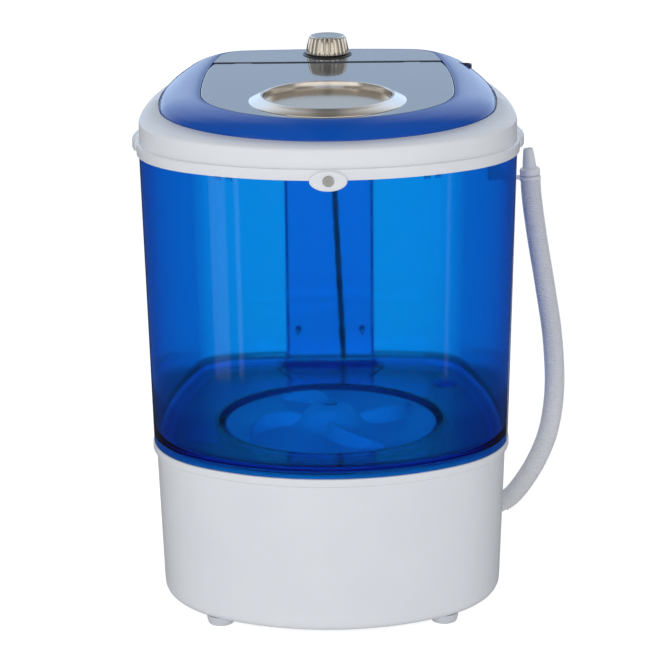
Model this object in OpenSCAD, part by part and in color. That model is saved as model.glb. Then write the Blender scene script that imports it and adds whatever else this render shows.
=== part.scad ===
// Portable mini washing machine: a clear blue tub on a white base, with a white top ring, a blue
// top cover, a hinged lid, a timer knob, a belt-driven pulsator and a ribbed drain hose.
// Millimetres, +Z up, -Y is the front. The drive axis is the Z axis and the floor is Z = 0.

/* [Body] */
// Width of the body at the top ring
body_w = 358; // [350:1:366]
// Distance from the drive axis to the front of the body
body_front = 176; // [172:1:182]
// Distance from the drive axis to the back of the body
body_back = 206; // [202:1:212]
// Height of the rubber feet
feet_h = 9; // [6:1:14]
// Height of the white base above the feet
base_h = 156; // [150:1:170]
// Visible height of the clear tub between the base and the top ring
tub_h = 281; // [240:1:320]
// How much the tub and base draw in from the ring down to the base rim
body_taper = 7; // [5:0.5:9]
// Backward rise of the top, in degrees
top_tilt = 2; // [0:0.5:3]

/* [Walls] */
// Wall of the base and the top ring
shell_wall = 3; // [2.5:0.1:3.5]
// Wall of the clear tub
tub_wall = 2.5; // [2:0.1:3]
// Thickness of the tub floor
floor_t = 3.5; // [3:0.1:5]
// Gap between loose neighbours
gap = 0.3; // [0.2:0.05:0.5]
// Gap round the lid and the control panel
lid_gap = 1.2; // [0.8:0.1:1.6]

/* [Base] */
// Height of the rim band at the top of the base
rim_h = 7.5; // [6:0.5:10]
// Radius of the rounded bottom edge
bottom_r = 13; // [10:1:15]
// Radius of a foot
foot_r = 13.5; // [11:0.5:15]
// Distance of the feet from the middle, left and right
foot_x = 107; // [100:1:110]
// Distance of the front feet from the drive axis
foot_front = 108; // [100:1:112]
// Distance of the rear feet from the drive axis
foot_back = 128; // [115:1:135]

/* [Top ring] */
// Height of the lower band of the ring
band_h = 10; // [8:0.5:12]
// Height of the upper band of the ring at the front
upper_h = 18; // [14:1:22]
// How far the side grips stand out
ear_out = 9; // [6:0.5:10]
// Length of a side grip
ear_l = 70; // [50:1:80]
// Width of the oval screw boss at the front
boss_w = 34; // [30:1:40]
// Height of the oval screw boss
boss_h = 19; // [16:1:22]

/* [Top cover and lid] */
// Width of the blue top cover where it meets the ring
cover_w = 322; // [316:1:326]
// Rise of the top cover from the ring to the deck
cover_rise = 15.3; // [13:0.1:18]
// Width of the deck that holds lid and control panel
deck_w = 242; // [236:1:250]
// Distance from the drive axis to the front of the deck
deck_front = 132; // [128:1:136]
// Distance from the drive axis to the back of the deck
deck_back = 192; // [188:1:193]
// Distance of the lid hinge axis behind the drive axis
hinge_y = 122.4; // [118:0.2:125]
// Thickness of the lid plate
lid_t = 3.5; // [3:0.1:4.5]
// Outer radius of the steel lid ring
bezel_r = 73; // [68:0.5:75]
// Inner radius of the steel lid ring
bezel_in = 60; // [54:0.5:62]
// Height of the steel lid ring above the lid
bezel_h = 6; // [4:0.5:8]
// Distance of the ring's middle in front of the drive axis
bezel_y = 55; // [52:1:56]
// Radius of the hinge pins
pin_r = 2; // [1.5:0.1:2.2]

/* [Timer knob] */
// Radius of the knob at its foot
knob_r = 21.8; // [18:0.2:23]
// Radius of the knob at its top
knob_top_r = 17.5; // [14:0.2:18.5]
// Height of the knob
knob_h = 18.2; // [14:0.2:24]
// Number of grip flutes round the knob
knob_flutes = 24; // [16:1:30]
// Distance of the knob behind the drive axis
knob_y = 165; // [163:1:166]
// Radius of the timer spindle
spindle_r = 3; // [2:0.1:4]

/* [Drive] */
// Radius of the pulsator
pulsator_r = 104; // [92:1:106]
// Number of pulsator vanes
vanes = 4; // [3:1:6]
// Height of a pulsator vane
vane_h = 15; // [10:1:20]
// Radius of the drive shaft
shaft_r = 5; // [4:0.5:6]
// Radius of the large pulley
pulley_r = 60; // [50:1:62]
// Radius of the motor pulley
motor_pulley_r = 15; // [12:0.5:18]
// Distance from the drive axis to the motor shaft
motor_x = 100; // [92:1:104]
// Radius of the motor casing
motor_r = 44; // [38:1:46]
// Height of the motor casing
motor_h = 74; // [60:1:78]
// Radius of the motor shaft
motor_shaft_r = 4; // [3:0.5:5]
// Running clearance of shafts in their bushes
run = 0.04; // [0.02:0.01:0.08]
// Radius of the capacitor
capacitor_r = 17.5; // [14:0.5:20]

/* [Water] */
// Outer radius of the drain hose over its ribs
hose_r = 10.4; // [10:0.1:10.6]
// Bore radius of the drain hose
hose_bore_r = 8.4; // [8:0.1:8.6]
// Spacing of the hose ribs
rib_pitch = 2.15; // [2:0.05:3]
// Distance of the drain behind the drive axis
drain_y = 110; // [106:1:114]
// Bore radius of the drain nozzle tip
nozzle_bore_r = 3.2; // [2.5:0.1:3.6]
// Outer radius of the water inlet
inlet_r = 6.5; // [6:0.1:8]
// Bore radius of the water inlet
inlet_bore_r = 4.5; // [3.5:0.1:5]

/* [Hidden] */
$fn = 64;

// Heights
base_z = feet_h;
rim_z = base_z + base_h;
floor_z = rim_z + 5;
ring_z = rim_z + tub_h;
step_z = ring_z + band_h;
ring_top = step_z + upper_h;
cover_z = ring_top + 2.2;
deck_z = cover_z + cover_rise;
sump_z = rim_z - 7;
sump_under = sump_z - floor_t;

// Outlines: half width, front, back, front arc, corner arc, side arc, its centre, rear corner, rear arc
body = [body_w/2, body_front, body_back, body_w/2 + 48, body_w/2 - 61, 600, -30, 58, 800];
cover = [cover_w/2, body_front - 23, body_back - 8, cover_w/2 + 4, cover_w/2 - 15, 400, 32, 50, 600];
deck = [deck_w/2, deck_front, deck_back, deck_w/2 + 4, deck_w/2 - 9, 900, 25, 30, 900];

function angle_of(v) = atan2(v.y, v.x);

function arc_points(c, r, a0, a1, n) =
    [for (i = [0:n - 1]) c + r*[cos(a0 + (a1 - a0)*i/n), sin(a0 + (a1 - a0)*i/n)]];

// The meeting point, on side s, of two circles round p and q
function meet(p, rp, q, rq, s) =
    let (d = norm(q - p), t = (rp*rp - rq*rq + d*d)/(2*d), u = (q - p)/d)
    p + u*t + s*[u.y, -u.x]*sqrt(rp*rp - t*t);

// Right half of an outline, drawn in by d, from the front middle to the back middle
function half_outline(o, d) =
    let (cf = [0, o[3] - o[1]], cs = [o[0] - o[5], o[6]], cb = [0, o[2] - o[8]],
         c1 = meet(cf, o[3] - o[4], cs, o[5] - o[4], -1),
         c2 = meet(cb, o[8] - o[7], cs, o[5] - o[7], 1),
         a1 = angle_of(c1 - cf), a2 = angle_of(c1 - cs),
         a3 = angle_of(c2 - cs), a4 = angle_of(c2 - cb))
    concat(arc_points(cf, o[3] - d, -90, a1, 5), arc_points(c1, o[4] - d, a1, a2, 6),
           arc_points(cs, o[5] - d, a2, a3, 4), arc_points(c2, o[7] - d, a3, a4, 4),
           arc_points(cb, o[8] - d, a4, 90, 2), [[0, o[2] - d]]);

function outline(o, d) =
    let (h = half_outline(o, d), n = len(h))
    concat(h, [for (i = [n - 2:-1:1]) [-h[i].x, h[i].y]]);

// Half width of an outline at y, along its side arc
function side_x(o, y) = o[0] - o[5] + sqrt(o[5]*o[5] - (y - o[6])*(y - o[6]));

// Rise of the tilted top at y
function lift(y) = tan(top_tilt)*(y + body_front);

// A ring of points round an outline: inset, height and whether it follows the tilt
function ring(o, d, z, tilted = 0) = [for (p = outline(o, d)) [p.x, p.y, z + tilted*lift(p.y)]];

// A ring part of the way between two rings
function between(a, b, t, dz = 0) = [for (i = [0:len(a) - 1]) a[i]*(1 - t) + b[i]*t + [0, 0, dz]];

// Inset of the tapered wall at height z
function wall_inset(z) = 2.2 + (body_taper - 1.2)*(ring_z - z)/tub_h;

// Skins a list of rings, either with end caps or closed on itself
module skin(rings, loop = false) {
    n = len(rings[0]);
    m = len(rings);
    spans = loop ? m : m - 1;
    walls = [for (j = [0:spans - 1], i = [0:n - 1])
        let (a = j*n + i, b = j*n + (i + 1)%n, e = (j + 1)%m*n + i, c = (j + 1)%m*n + (i + 1)%n)
        each [[a, e, c], [a, c, b]]];
    caps = loop ? [] : [[for (i = [0:n - 1]) i], [for (i = [n - 1:-1:0]) (m - 1)*n + i]];
    polyhedron([for (r = rings) each r], concat(walls, caps), convexity = 6);
}

// Puts its children in the deck's plane, with z = 0 at the deck surface
module on_deck() {
    translate([0, -body_front, deck_z]) rotate([top_tilt, 0, 0])
        translate([0, body_front, 0]) children();
}

module tube(r_out, r_in, h) {
    difference() {
        cylinder(r = r_out, h = h);
        translate([0, 0, -1]) cylinder(r = r_in, h = h + 2);
    }
}

module pan_screw(r, h, head_r, head_h) {
    cylinder(r = r, h = h);
    translate([0, 0, h]) difference() {
        cylinder(r = head_r, h = head_h);
        for (a = [0, 90]) rotate(a) translate([-head_r*0.6, -0.5, head_h*0.5])
            cube([head_r*1.2, 1, head_h]);
    }
}

// White base

base_top_inset = body_taper;
base_mid_inset = body_taper + 3.4;
base_low_inset = body_taper + 7.6;
plate_inset = base_low_inset + bottom_r + 10;

function fillet(inset, z, r) =
    [for (a = [0:22.5:90]) [inset + r - r*sin(a), z + r - r*cos(a)]];

module base_shell() color([0.86, 0.87, 0.88]) {
    w = shell_wall;
    outer = concat([[plate_inset, base_z]], fillet(base_low_inset, base_z, bottom_r),
        [[base_mid_inset, rim_z - rim_h - 1], [base_top_inset + 0.5, rim_z - rim_h],
         [base_top_inset, rim_z - rim_h + 0.8], [base_top_inset, rim_z - 0.8],
         [base_top_inset + 0.8, rim_z], [base_top_inset + 5.4, rim_z],
         [base_top_inset + 5.4, rim_z - 5], [base_mid_inset + w, rim_z - rim_h - 4]]);
    inner = fillet(base_low_inset + w, base_z + w, bottom_r - w);
    path = concat(outer, [for (i = [len(inner) - 1:-1:0]) inner[i]], [[plate_inset, base_z + w]]);
    difference() {
        skin([for (p = path) ring(body, p[0], p[1])], loop = true);
        translate([side_x(body, drain_y) - 30, drain_y, drain_z]) rotate([0, 90, 0])
            cylinder(r = elbow_r + 0.3, h = 30);
        translate([gland_x, rear_y(gland_x, base_low_inset), gland_z])
            rotate([-90, 0, asin(-gland_x/body[8])]) translate([0, 0, -10])
                cylinder(r = gland_r + 0.1, h = 20);
        for (i = [0:8]) translate([20 + 9*i, body_back - 40, base_z + 45])
            vent_slot();
        for (p = foot_places()) translate([p.x, p.y, base_z - 1]) cylinder(r = 2.2, h = shell_wall + 2);
    }
}

module vent_slot() {
    translate([-1.6, 0, 0]) cube([3.2, 60, 44]);
    for (z = [0, 44]) translate([0, 0, z]) rotate([-90, 0, 0]) cylinder(r = 1.6, h = 60);
}

module base_plate() color([0.72, 0.73, 0.75]) difference() {
    union() {
        translate([0, 0, base_z]) linear_extrude(shell_wall)
            polygon(outline(body, plate_inset + gap));
        translate([0, 0, base_z + shell_wall]) linear_extrude(2)
            polygon(outline(body, base_low_inset + bottom_r + 4));
        for (p = foot_places()) translate([p.x, p.y, base_z + shell_wall]) cylinder(r = 6, h = 12);
    }
    for (p = foot_places()) translate([p.x, p.y, base_z - 1]) cylinder(r = 1.9, h = 14);
    for (i = [-4:4], j = [-1, 1]) translate([9*i - 1.6, 30*j - 20, base_z - 1])
        cube([3.2, 40, 9]);
}

function foot_places() = [for (s = [-1, 1]) each [[s*foot_x, -foot_front], [s*foot_x, foot_back]]];

module feet() color([0.8, 0.82, 0.84])
    for (p = foot_places()) translate([p.x, p.y, 0]) difference() {
        rotate_extrude() polygon([[0, 0], [foot_r - 2.5, 0], [foot_r - 1.2, 0.8],
            [foot_r, feet_h - 3], [foot_r, feet_h], [0, feet_h]]);
        translate([0, 0, -1]) cylinder(r = 5, h = 1 + feet_h/2);
        cylinder(r = 1.9, h = feet_h + 1);
    }

module foot_screws() color([0.6, 0.6, 0.62])
    for (p = foot_places()) translate([p.x, p.y, feet_h + 9]) rotate([180, 0, 0])
        pan_screw(1.9, 9 + feet_h/2, 4, 2);

gland_x = -60;
gland_z = base_z + 30;
gland_r = 7;
gland_bore_r = 3.6;

module cable_gland() color([0.15, 0.15, 0.16])
    translate([gland_x, rear_y(gland_x, base_low_inset - 1), gland_z])
        rotate([-90, 0, asin(-gland_x/body[8])]) difference() {
            rotate_extrude() polygon([[0, -7], [gland_r + 2, -7], [gland_r + 2, -4.5],
                [gland_r, -4.5], [gland_r, 0], [gland_r + 3, 0], [gland_r + 3, 3],
                [gland_r - 1.5, 5], [gland_r - 2, 16], [0, 16]]);
            translate([0, 0, -8]) cylinder(r = gland_bore_r, h = 30);
        }

// Rear of the body outline at x, drawn in by d, along its rear arc
function rear_y(x, d) = body[2] - body[8] + sqrt((body[8] - d)*(body[8] - d) - x*x);

// Clear blue tub, with a wiring channel pressed into its rear wall

channel_w = 92;
channel_d = 18;
channel_y = body_back - wall_inset(floor_z) - tub_wall - channel_d;
sump_r = 110.5;

drain_x = side_x(body, drain_y) - base_low_inset - 30;
drain_r = 9;
drain_z = base_z + 29;
elbow_r = 11;
hub_r = 13;

function bracket_places() = [for (a = [45:90:315]) 30*[cos(a), sin(a)]];

function tub_outer() =
    [for (p = [[wall_inset(rim_z), rim_z], [wall_inset(ring_z), ring_z],
               [wall_inset(ring_z), tub_top]]) ring(body, p[0], p[1])];

module tub() color([0.0, 0.32, 0.85, 0.6]) {
    w = tub_wall;
    spigot_in = base_top_inset + 8.8;
    low = [[spigot_in, floor_z - floor_t], [spigot_in, rim_z - 4], [spigot_in - 3, rim_z - 4],
           [spigot_in - 3, rim_z]];
    inner = [[wall_inset(ring_z) + w, tub_top], [wall_inset(floor_z) + w, floor_z + 12],
             [wall_inset(floor_z) + w + 1, floor_z + 5.5], [wall_inset(floor_z) + w + 4, floor_z + 1.3],
             [wall_inset(floor_z) + w + 9, floor_z]];
    difference() {
        union() {
            skin(concat([for (p = low) ring(body, p[0], p[1])], tub_outer(),
                [for (p = inner) ring(body, p[0], p[1])]));
            translate([0, 0, sump_under])
                cylinder(r = sump_r + floor_t, h = floor_z - sump_under - 1, $fn = 96);
            intersection() {
                channel_wall();
                skin(tub_outer());
            }
        }
        channel_space();
        for (p = cover_screw_places()) translate([p.x, channel_y + 1.2, p.z]) rotate([-90, 0, 0])
            cylinder(r = 1.5, h = 80);
        translate([0, 0, sump_z]) cylinder(r = sump_r, h = 30, $fn = 96);
        translate([0, 0, sump_under - 1]) cylinder(r = hub_r + 0.1, h = 20);
        translate([drain_x, drain_y, rim_z - 10]) cylinder(r = drain_r, h = 30);
        translate([0, -body_front - 1, boss_z]) rotate([-90, 0, 0]) cylinder(r = 2, h = 10);
        for (p = bracket_places()) translate([p.x, p.y, sump_under - 1]) cylinder(r = 1.5, h = 3);
    }
}

module channel_wall() {
    translate([-channel_w/2, channel_y, floor_z - 1])
        cube([channel_w, 60, tub_top - floor_z + 1]);
    for (s = [-1, 1]) translate([s*channel_w/2, channel_y, floor_z - 1]) difference() {
        translate([s > 0 ? -1 : -12, 0, 0]) cube([13, 60, 13]);
        translate([s*12, -1, 13]) rotate([-90, 0, 0]) cylinder(r = 12, h = 62);
    }
}

module channel_space() {
    w = tub_wall;
    difference() {
        translate([-channel_w/2 + w, channel_y + w, floor_z + 0.5])
            cube([channel_w - 2*w, 60, ring_z + 30 - floor_z]);
        for (p = cover_screw_places()) translate([p.x, channel_y, p.z]) rotate([-90, 0, 0])
            cylinder(r = 4, h = rear_y(p.x, wall_inset(p.z) + w + 1.4) - channel_y);
    }
}

module rear_cover() color([0.86, 0.87, 0.88]) {
    half = channel_w/2 - tub_wall - gap;
    difference() {
        intersection() {
            skin(concat(tub_outer(), [for (p = [[wall_inset(ring_z), tub_top], [wall_inset(rim_z), rim_z]])
                ring(body, p[0] + tub_wall, p[1])]), loop = true);
            translate([-half, 100, floor_z + 0.5 + gap])
                cube([2*half, 200, tub_top - floor_z - 0.5 - gap]);
        }
        for (p = cover_screw_places()) translate([p.x, 150, p.z]) rotate([-90, 0, 0])
            cylinder(r = 1.6, h = 80);
    }
}

function cover_screw_places() =
    [for (s = [-1, 1], z = [rim_z + 40, ring_z - 40]) [s*34, 0, z]];

module rear_cover_screws() color([0.6, 0.6, 0.62])
    for (p = cover_screw_places())
        translate([p.x, channel_y + 1.4, p.z]) rotate([-90, 0, 0])
            pan_screw(1.5, rear_y(p.x, wall_inset(p.z)) - channel_y - 1.3, 3.2, 1.8);

// The loom slants up the channel, from the motor side to the timer side
loom_r = 3.2;
loom_y = channel_y + tub_wall + loom_r + 0.6;

module wiring_loom() color([0.2, 0.2, 0.22])
    for (i = [0:2]) let (a = [14, loom_y, floor_z + 4], b = [2, loom_y, ring_z + 2],
                         d = b - a, p = a + d*i/3)
        translate(p) rotate([0, -atan2(a.x - b.x, d.z), 0]) {
            cylinder(r = loom_r, h = norm(d)/3 + 0.2);
            translate([0, 0, 20]) cylinder(r = loom_r + 0.5, h = 5);
        }

// White top ring, with its oval screw boss, side grips and snap hooks

boss_z = ring_z;
tub_top = ring_z + 6.7;

module top_ring() color([0.84, 0.85, 0.87]) {
    w = shell_wall;
    out = body_ring_inset;
    body_path = [[2, ring_z, 0], [0, ring_z, 0], [0, step_z - 0.8, 0], [0.6, step_z, 0],
                 [out, step_z + 0.3, 0], [out, ring_top - 3.4, 1], [out + 0.9, ring_top - 1, 1],
                 [out + 3.2, ring_top, 1]];
    cover_path = [[-1, cover_z - 0.2, 1], [-1, cover_z - 3.2, 1], [7, cover_z - 3.2, 1],
                  [7, cover_z - 5.6, 1]];
    under_path = [[out + 4.6, ring_top - 3.6, 1], [out + w, ring_top - 6, 1],
                  [out + w, tub_top + 0.2, 0], [2, tub_top + 0.2, 0]];
    difference() {
        union() {
            skin(concat([for (p = body_path) ring(body, p[0], p[1], p[2])],
                [for (p = cover_path) ring(cover, p[0], p[1], p[2])],
                [for (p = under_path) ring(body, p[0], p[1], p[2])]), loop = true);
            front_boss();
            for (s = [0, 1]) mirror([s, 0, 0]) side_grip();
        }
        translate([0, -body_front - 4, boss_z]) rotate([-90, 0, 0]) {
            cylinder(r = 2.2, h = 12);
            translate([0, 0, -2]) cylinder(r = 5, h = 3.8);
        }
        translate([inlet_x, inlet_y, inlet_top - 34 - gap]) cylinder(r = inlet_r + gap, h = 60);
        translate([inlet_x, inlet_y, inlet_top - 28 - gap])
            cylinder(r = inlet_r + 2.5 + gap, h = 2 + 2*gap);
        translate([0, 0, ring_z - 30]) intersection() {
            translate([-60, -body_front - 10, 0]) cube([120, 30, 36.8]);
            skin([for (z = [0, 40]) ring(body, 2.1, z)]);
        }
    }
    for (s = [-1, 1], x = [88, 98]) snap_hook(s*x);
}

body_ring_inset = 2.8;

// The boss is an oval pad that laps over the ring's lower edge and the top of the tub
module front_boss() {
    translate([0, -body_front, boss_z]) rotate([90, 0, 0]) {
        translate([0, 0, -3]) linear_extrude(4.6) boss_oval(0);
        translate([0, 0, 1.5]) linear_extrude(0.8) boss_oval(0.8);
        translate([0, 0, 2.2]) linear_extrude(0.6) boss_oval(2);
    }
}

module boss_oval(d) {
    polygon([for (a = [0:10:350]) let (e = 0.8)
        [(boss_w/2 - d)*sign(cos(a))*pow(abs(cos(a)), e), (boss_h/2 - d)*sign(sin(a))*pow(abs(sin(a)), e)]]);
}

// A side grip is a lip that swells out of the lower band
module side_grip() {
    y0 = -20;
    ys = [for (i = [0:12]) y0 + ear_l*i/12];
    swell = function (y) ear_out*pow(sin(180*min(max((y - y0)/ear_l, 0.03), 0.97)), 0.35);
    intersection() {
        translate([0, 0, ring_z - 4]) linear_extrude(16) polygon(concat(
            [for (y = ys) [side_x(body, y) + swell(y), y]],
            [for (i = [12:-1:0]) [side_x(body, ys[i]) - 1.4, ys[i]]]));
        translate([0, y0 - 1, 0]) rotate([90, 0, 180]) mirror([1, 0, 0]) linear_extrude(ear_l + 2)
            polygon([[body_w/2 - 12, ring_z - 4], [body_w/2 + ear_out - 1.5, ring_z - 4],
                     [body_w/2 + ear_out, ring_z - 2.5], [body_w/2 + ear_out, ring_z + 6],
                     [body_w/2 + ear_out - 4, ring_z + 9.5], [body_w/2 - 1, ring_z + 12],
                     [body_w/2 - 12, ring_z + 12]]);
    }
}

module snap_hook(x) {
    front = [for (i = [0:11]) half_outline(body, wall_inset(ring_z) + tub_wall + 0.2)[i]];
    y = lookup(abs(x), front);
    slope = atan((lookup(abs(x) + 2, front) - lookup(abs(x) - 2, front))/4);
    translate([x, y, ring_z - 4]) rotate(sign(x)*slope) {
        translate([-3, 0.1, 0]) cube([6, 1.6, 11.5]);
        translate([-3, 0, 0]) cube([6, 1, 2]);
    }
}

module front_screw() color([0.75, 0.75, 0.76])
    translate([0, -body_front + 7, boss_z]) rotate([90, 0, 0]) pan_screw(1.95, 9.3, 4.3, 2);

// Blue top cover

seat_in = 11;
seat_z = -lid_t - 1.5;

function cover_ring(d, z) = ring(cover, d, z, 1);
function deck_ring(d, z) = ring(deck, d, deck_z + z, 1);

// The slope from the ring to the deck, as a share across and a share up
slope = [[0.04, 0.16], [0.14, 0.38], [0.38, 0.66], [0.66, 0.86], [0.88, 0.975]];

module top_cover() color([0.0, 0.27, 0.68]) {
    w = shell_wall;
    foot = cover_ring(0, cover_z);
    brow = deck_ring(0, 0);
    flat_brow = ring(deck, 0, cover_z, 1);
    inner_foot = cover_ring(w, cover_z);
    inner_brow = ring(deck, 1, cover_z, 1);
    difference() {
        union() {
            skin(concat([cover_ring(0, cover_z - 3)], [foot],
                [for (p = slope) between(foot, flat_brow, p[0], cover_rise*p[1])],
                [brow, deck_ring(0.4, -0.6), deck_ring(0.4, seat_z), deck_ring(seat_in, seat_z),
                 deck_ring(seat_in, seat_z - 2.5)],
                [between(inner_foot, inner_brow, 0.75, cover_rise + seat_z - 2.5)],
                [between(inner_foot, inner_brow, 0.25, cover_rise*0.5 - w)],
                [cover_ring(w, cover_z - 1), cover_ring(w, cover_z - 3)]), loop = true);
            on_deck() hinge_bar();
        }
        on_deck() {
            translate([-timer_w/2 - gap, timer_y - gap, -60])
                cube([timer_w + 2*gap, timer_d + 2*gap, 60 - lid_t + 0.4]);
            hinge_bores(pin_r);
        }
        translate([inlet_x, inlet_y, inlet_top - 60]) cylinder(r = inlet_r, h = 90);
    }
}

hinge_z = -3.9;
knuckle_r = 3.3;
hinge_x = deck_w/2 - 37;
knuckle_l = 16;

// The bar behind the lid carries two clevises for the hinge pins
module hinge_bar() {
    half = side_x(deck, hinge_y) - seat_in + 2;
    bar_top = hinge_z - knuckle_r - 0.6;
    bar_y = hinge_y - 6.5;
    translate([-half, bar_y, bar_top - 1.8]) cube([2*half, timer_y - bar_y - 1, 1.8]);
    for (s = [-1, 1]) translate([s*(half - 3) - 3, bar_y, bar_top - 1])
        cube([6, timer_y - bar_y - 1, seat_z - bar_top]);
    for (s = [-1, 1], t = [-1, 1])
        translate([s*hinge_x + t*(knuckle_l/2 + gap + 2) - 2, hinge_y, hinge_z]) {
            rotate([0, 90, 0]) cylinder(r = knuckle_r, h = 4);
            translate([0, -knuckle_r, -knuckle_r - 1.5]) cube([4, 2*knuckle_r, knuckle_r + 1.5]);
        }
}

module hinge_bores(r) {
    for (s = [-1, 1])
        translate([s*hinge_x - knuckle_l/2 - 10, hinge_y, hinge_z]) rotate([0, 90, 0])
            cylinder(r = r, h = knuckle_l + 20);
}

module hinge_pins() color([0.5, 0.5, 0.52]) on_deck()
    for (s = [-1, 1])
        translate([s*hinge_x - knuckle_l/2 - gap - 4, hinge_y, hinge_z]) rotate([0, 90, 0])
            cylinder(r = pin_r, h = knuckle_l + 2*gap + 8);

// Control panel, timer and knob

panel_y = hinge_y + 5.4;
timer_y = panel_y + 4;
timer_d = deck_back - 5 - timer_y;
timer_w = 110;
timer_h = 32;

module control_panel() color([0.6, 0.65, 0.72]) on_deck() difference() {
    intersection() {
        translate([0, 0, -lid_t]) linear_extrude(lid_t) polygon(outline(deck, lid_gap));
        translate([-200, panel_y, -20]) cube([400, 200, 40]);
    }
    translate([0, knob_y, -10]) cylinder(r = spindle_r + 1.5, h = 20);
}

module knob_ring() color([0.12, 0.12, 0.13]) on_deck()
    translate([0, knob_y, 0.02]) difference() {
        rotate_extrude() polygon([[0, 0], [knob_r + 3.2, 0], [knob_r + 2.6, 0.9],
            [knob_r + 1, 1.1], [knob_r - 1, 0.7], [0, 0.7]]);
        translate([0, 0, -1]) cylinder(r = spindle_r + 1.5, h = 4);
    }

module timer_housing() color([0.8, 0.8, 0.82]) on_deck()
    translate([-timer_w/2, timer_y, -lid_t - timer_h]) difference() {
        cube([timer_w, timer_d, timer_h]);
        translate([2, 2, 2]) cube([timer_w - 4, timer_d - 4, timer_h]);
        translate([20, timer_d/2, -1]) cylinder(r = 5, h = 4);
    }

module timer_body() color([0.9, 0.88, 0.8]) on_deck()
    translate([0, knob_y, -lid_t - timer_h + 2]) difference() {
        union() {
            translate([-26, -17, 0]) cube([52, 34, 22]);
            translate([0, 0, 22]) cylinder(r = 6, h = 6);
        }
        translate([0, 0, 10]) cylinder(r = spindle_r + run, h = 30);
    }

module timer_knob() color([0.35, 0.36, 0.38]) on_deck()
    translate([0, knob_y, 1.4]) difference() {
        union() {
            linear_extrude(knob_h - 1.2, scale = knob_top_r/knob_r)
                polygon([for (i = [0:4*knob_flutes - 1]) let (a = 90*i/knob_flutes,
                    r = knob_r - (i%4 < 2 ? 0 : 0.9)) r*[cos(a), sin(a)]]);
            translate([0, 0, knob_h - 1.3]) rotate_extrude() polygon([[0, 0], [knob_top_r - 0.9, 0],
                [knob_top_r - 1.6, 1], [knob_top_r - 3, 1.3], [0, 1.3]]);
        }
        translate([0, 0, -1]) cylinder(r = spindle_r, h = 10);
        translate([-0.6, -knob_top_r + 0.5, knob_h - 0.5]) cube([1.2, 9, 2]);
    }

module timer_spindle() color([0.7, 0.7, 0.72]) on_deck()
    translate([0, knob_y, -lid_t - timer_h + 13]) cylinder(r = spindle_r, h = timer_h + lid_t - 13 + 10.4);

// Lid

// The lid ends short of its clevises, and its rear corners draw in so that they swing clear
lid_back = hinge_y - knuckle_r - gap;
lid_corner = side_x(deck, panel_y) - lid_gap - 0.4;
lid_shoulder = side_x(deck, lid_back - 30) - lid_gap;
lid_trim = [[-200, -200], [200, -200], [200, lid_back - 30], [lid_shoulder, lid_back - 30],
            [lid_corner, lid_back], [-lid_corner, lid_back], [-lid_shoulder, lid_back - 30],
            [-200, lid_back - 30]];

module lid_panel() color([0.6, 0.65, 0.72]) on_deck() {
    difference() {
        union() {
            intersection() {
                union() {
                    translate([0, 0, -lid_t]) linear_extrude(lid_t) polygon(outline(deck, lid_gap));
                    translate([0, 0, -lid_t - 5]) linear_extrude(5.5) difference() {
                        polygon(outline(deck, seat_in + 2));
                        polygon(outline(deck, seat_in + 4));
                    }
                }
                translate([0, 0, -20]) linear_extrude(40) polygon(lid_trim);
            }
            for (s = [-1, 1]) translate([s*hinge_x - knuckle_l/2, hinge_y, hinge_z]) {
                rotate([0, 90, 0]) cylinder(r = knuckle_r, h = knuckle_l);
                translate([0, -knuckle_r - 3, 0.4]) cube([knuckle_l, knuckle_r + 3, -hinge_z - 0.8]);
            }
        }
        translate([0, -bezel_y, -20]) cylinder(r = bezel_in + 0.15, h = 40, $fn = 96);
        hinge_bores(pin_r + run);
        translate([-200, hinge_y - 8, -20]) cube([400, 5.5, 20 - lid_t]);
    }
}

module lid_bezel() color([0.72, 0.72, 0.72]) on_deck() translate([0, -bezel_y, 0])
    rotate_extrude($fn = 96) polygon([[bezel_r, 0.02], [bezel_r - 0.3, 0.5], [bezel_in + 2.2, bezel_h - 0.4],
        [bezel_in + 1.2, bezel_h], [bezel_in, bezel_h - 0.4], [bezel_in - 0.3, bezel_h - 1],
        [bezel_in - 0.3, -3], [bezel_in - 1.6, -3], [bezel_in - 1.6, -4], [bezel_in, -4], [bezel_in, 0.02]]);

// The dish fills the ring: a shallow bowl with a shelf at the front for the fingers
module lid_dish() color([0.75, 0.75, 0.76]) on_deck() translate([0, -bezel_y, 0])
    rotate_extrude($fn = 96) polygon([[0, -2.6], [30, -2.4], [48, -1.6], [bezel_in - 0.5, -1.2],
        [bezel_in - 0.5, -2.8], [48, -3.2], [30, -4.1], [0, -4.3]]);

module lid_liner() color([0.86, 0.87, 0.88]) on_deck() translate([0, 0, -lid_t - 3.2])
    linear_extrude(1.8) intersection() {
        polygon(outline(deck, seat_in + 4.4));
        translate([-200, -200]) square([400, 200 + hinge_y - 12]);
    }

// Water inlet at the right rear of the cover

inlet_x = cover_w/2 - 23;
inlet_y = 132;
inlet_top = deck_z + lift(inlet_y) - 4.5;

module water_inlet() color([0.05, 0.07, 0.2])
    translate([inlet_x, inlet_y, inlet_top - 34]) difference() {
        union() {
            cylinder(r = inlet_r, h = 34);
            translate([0, 0, 6]) cylinder(r = inlet_r + 2.5, h = 2);
        }
        translate([0, 0, -1]) cylinder(r = inlet_bore_r, h = 40);
    }

// Drain

module drain_grate() color([0.05, 0.2, 0.6])
    translate([drain_x, drain_y, floor_z - floor_t - 1]) {
        difference() {
            union() {
                cylinder(r = drain_r - 0.3, h = floor_t + 1);
                translate([0, 0, floor_t + 1]) rotate_extrude()
                    polygon([[0, 0], [13, 0], [12.6, 1], [9, 2.2], [0, 2.8]]);
            }
            translate([0, 0, -1]) cylinder(r = drain_r - 2, h = floor_t + 2);
            for (i = [-2:2]) translate([-7 + abs(i), 3*i - 0.8, -1]) cube([14 - 2*abs(i), 1.6, 12]);
        }
    }

bend_r = 22;
spigot_r = hose_bore_r - 0.1;

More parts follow.
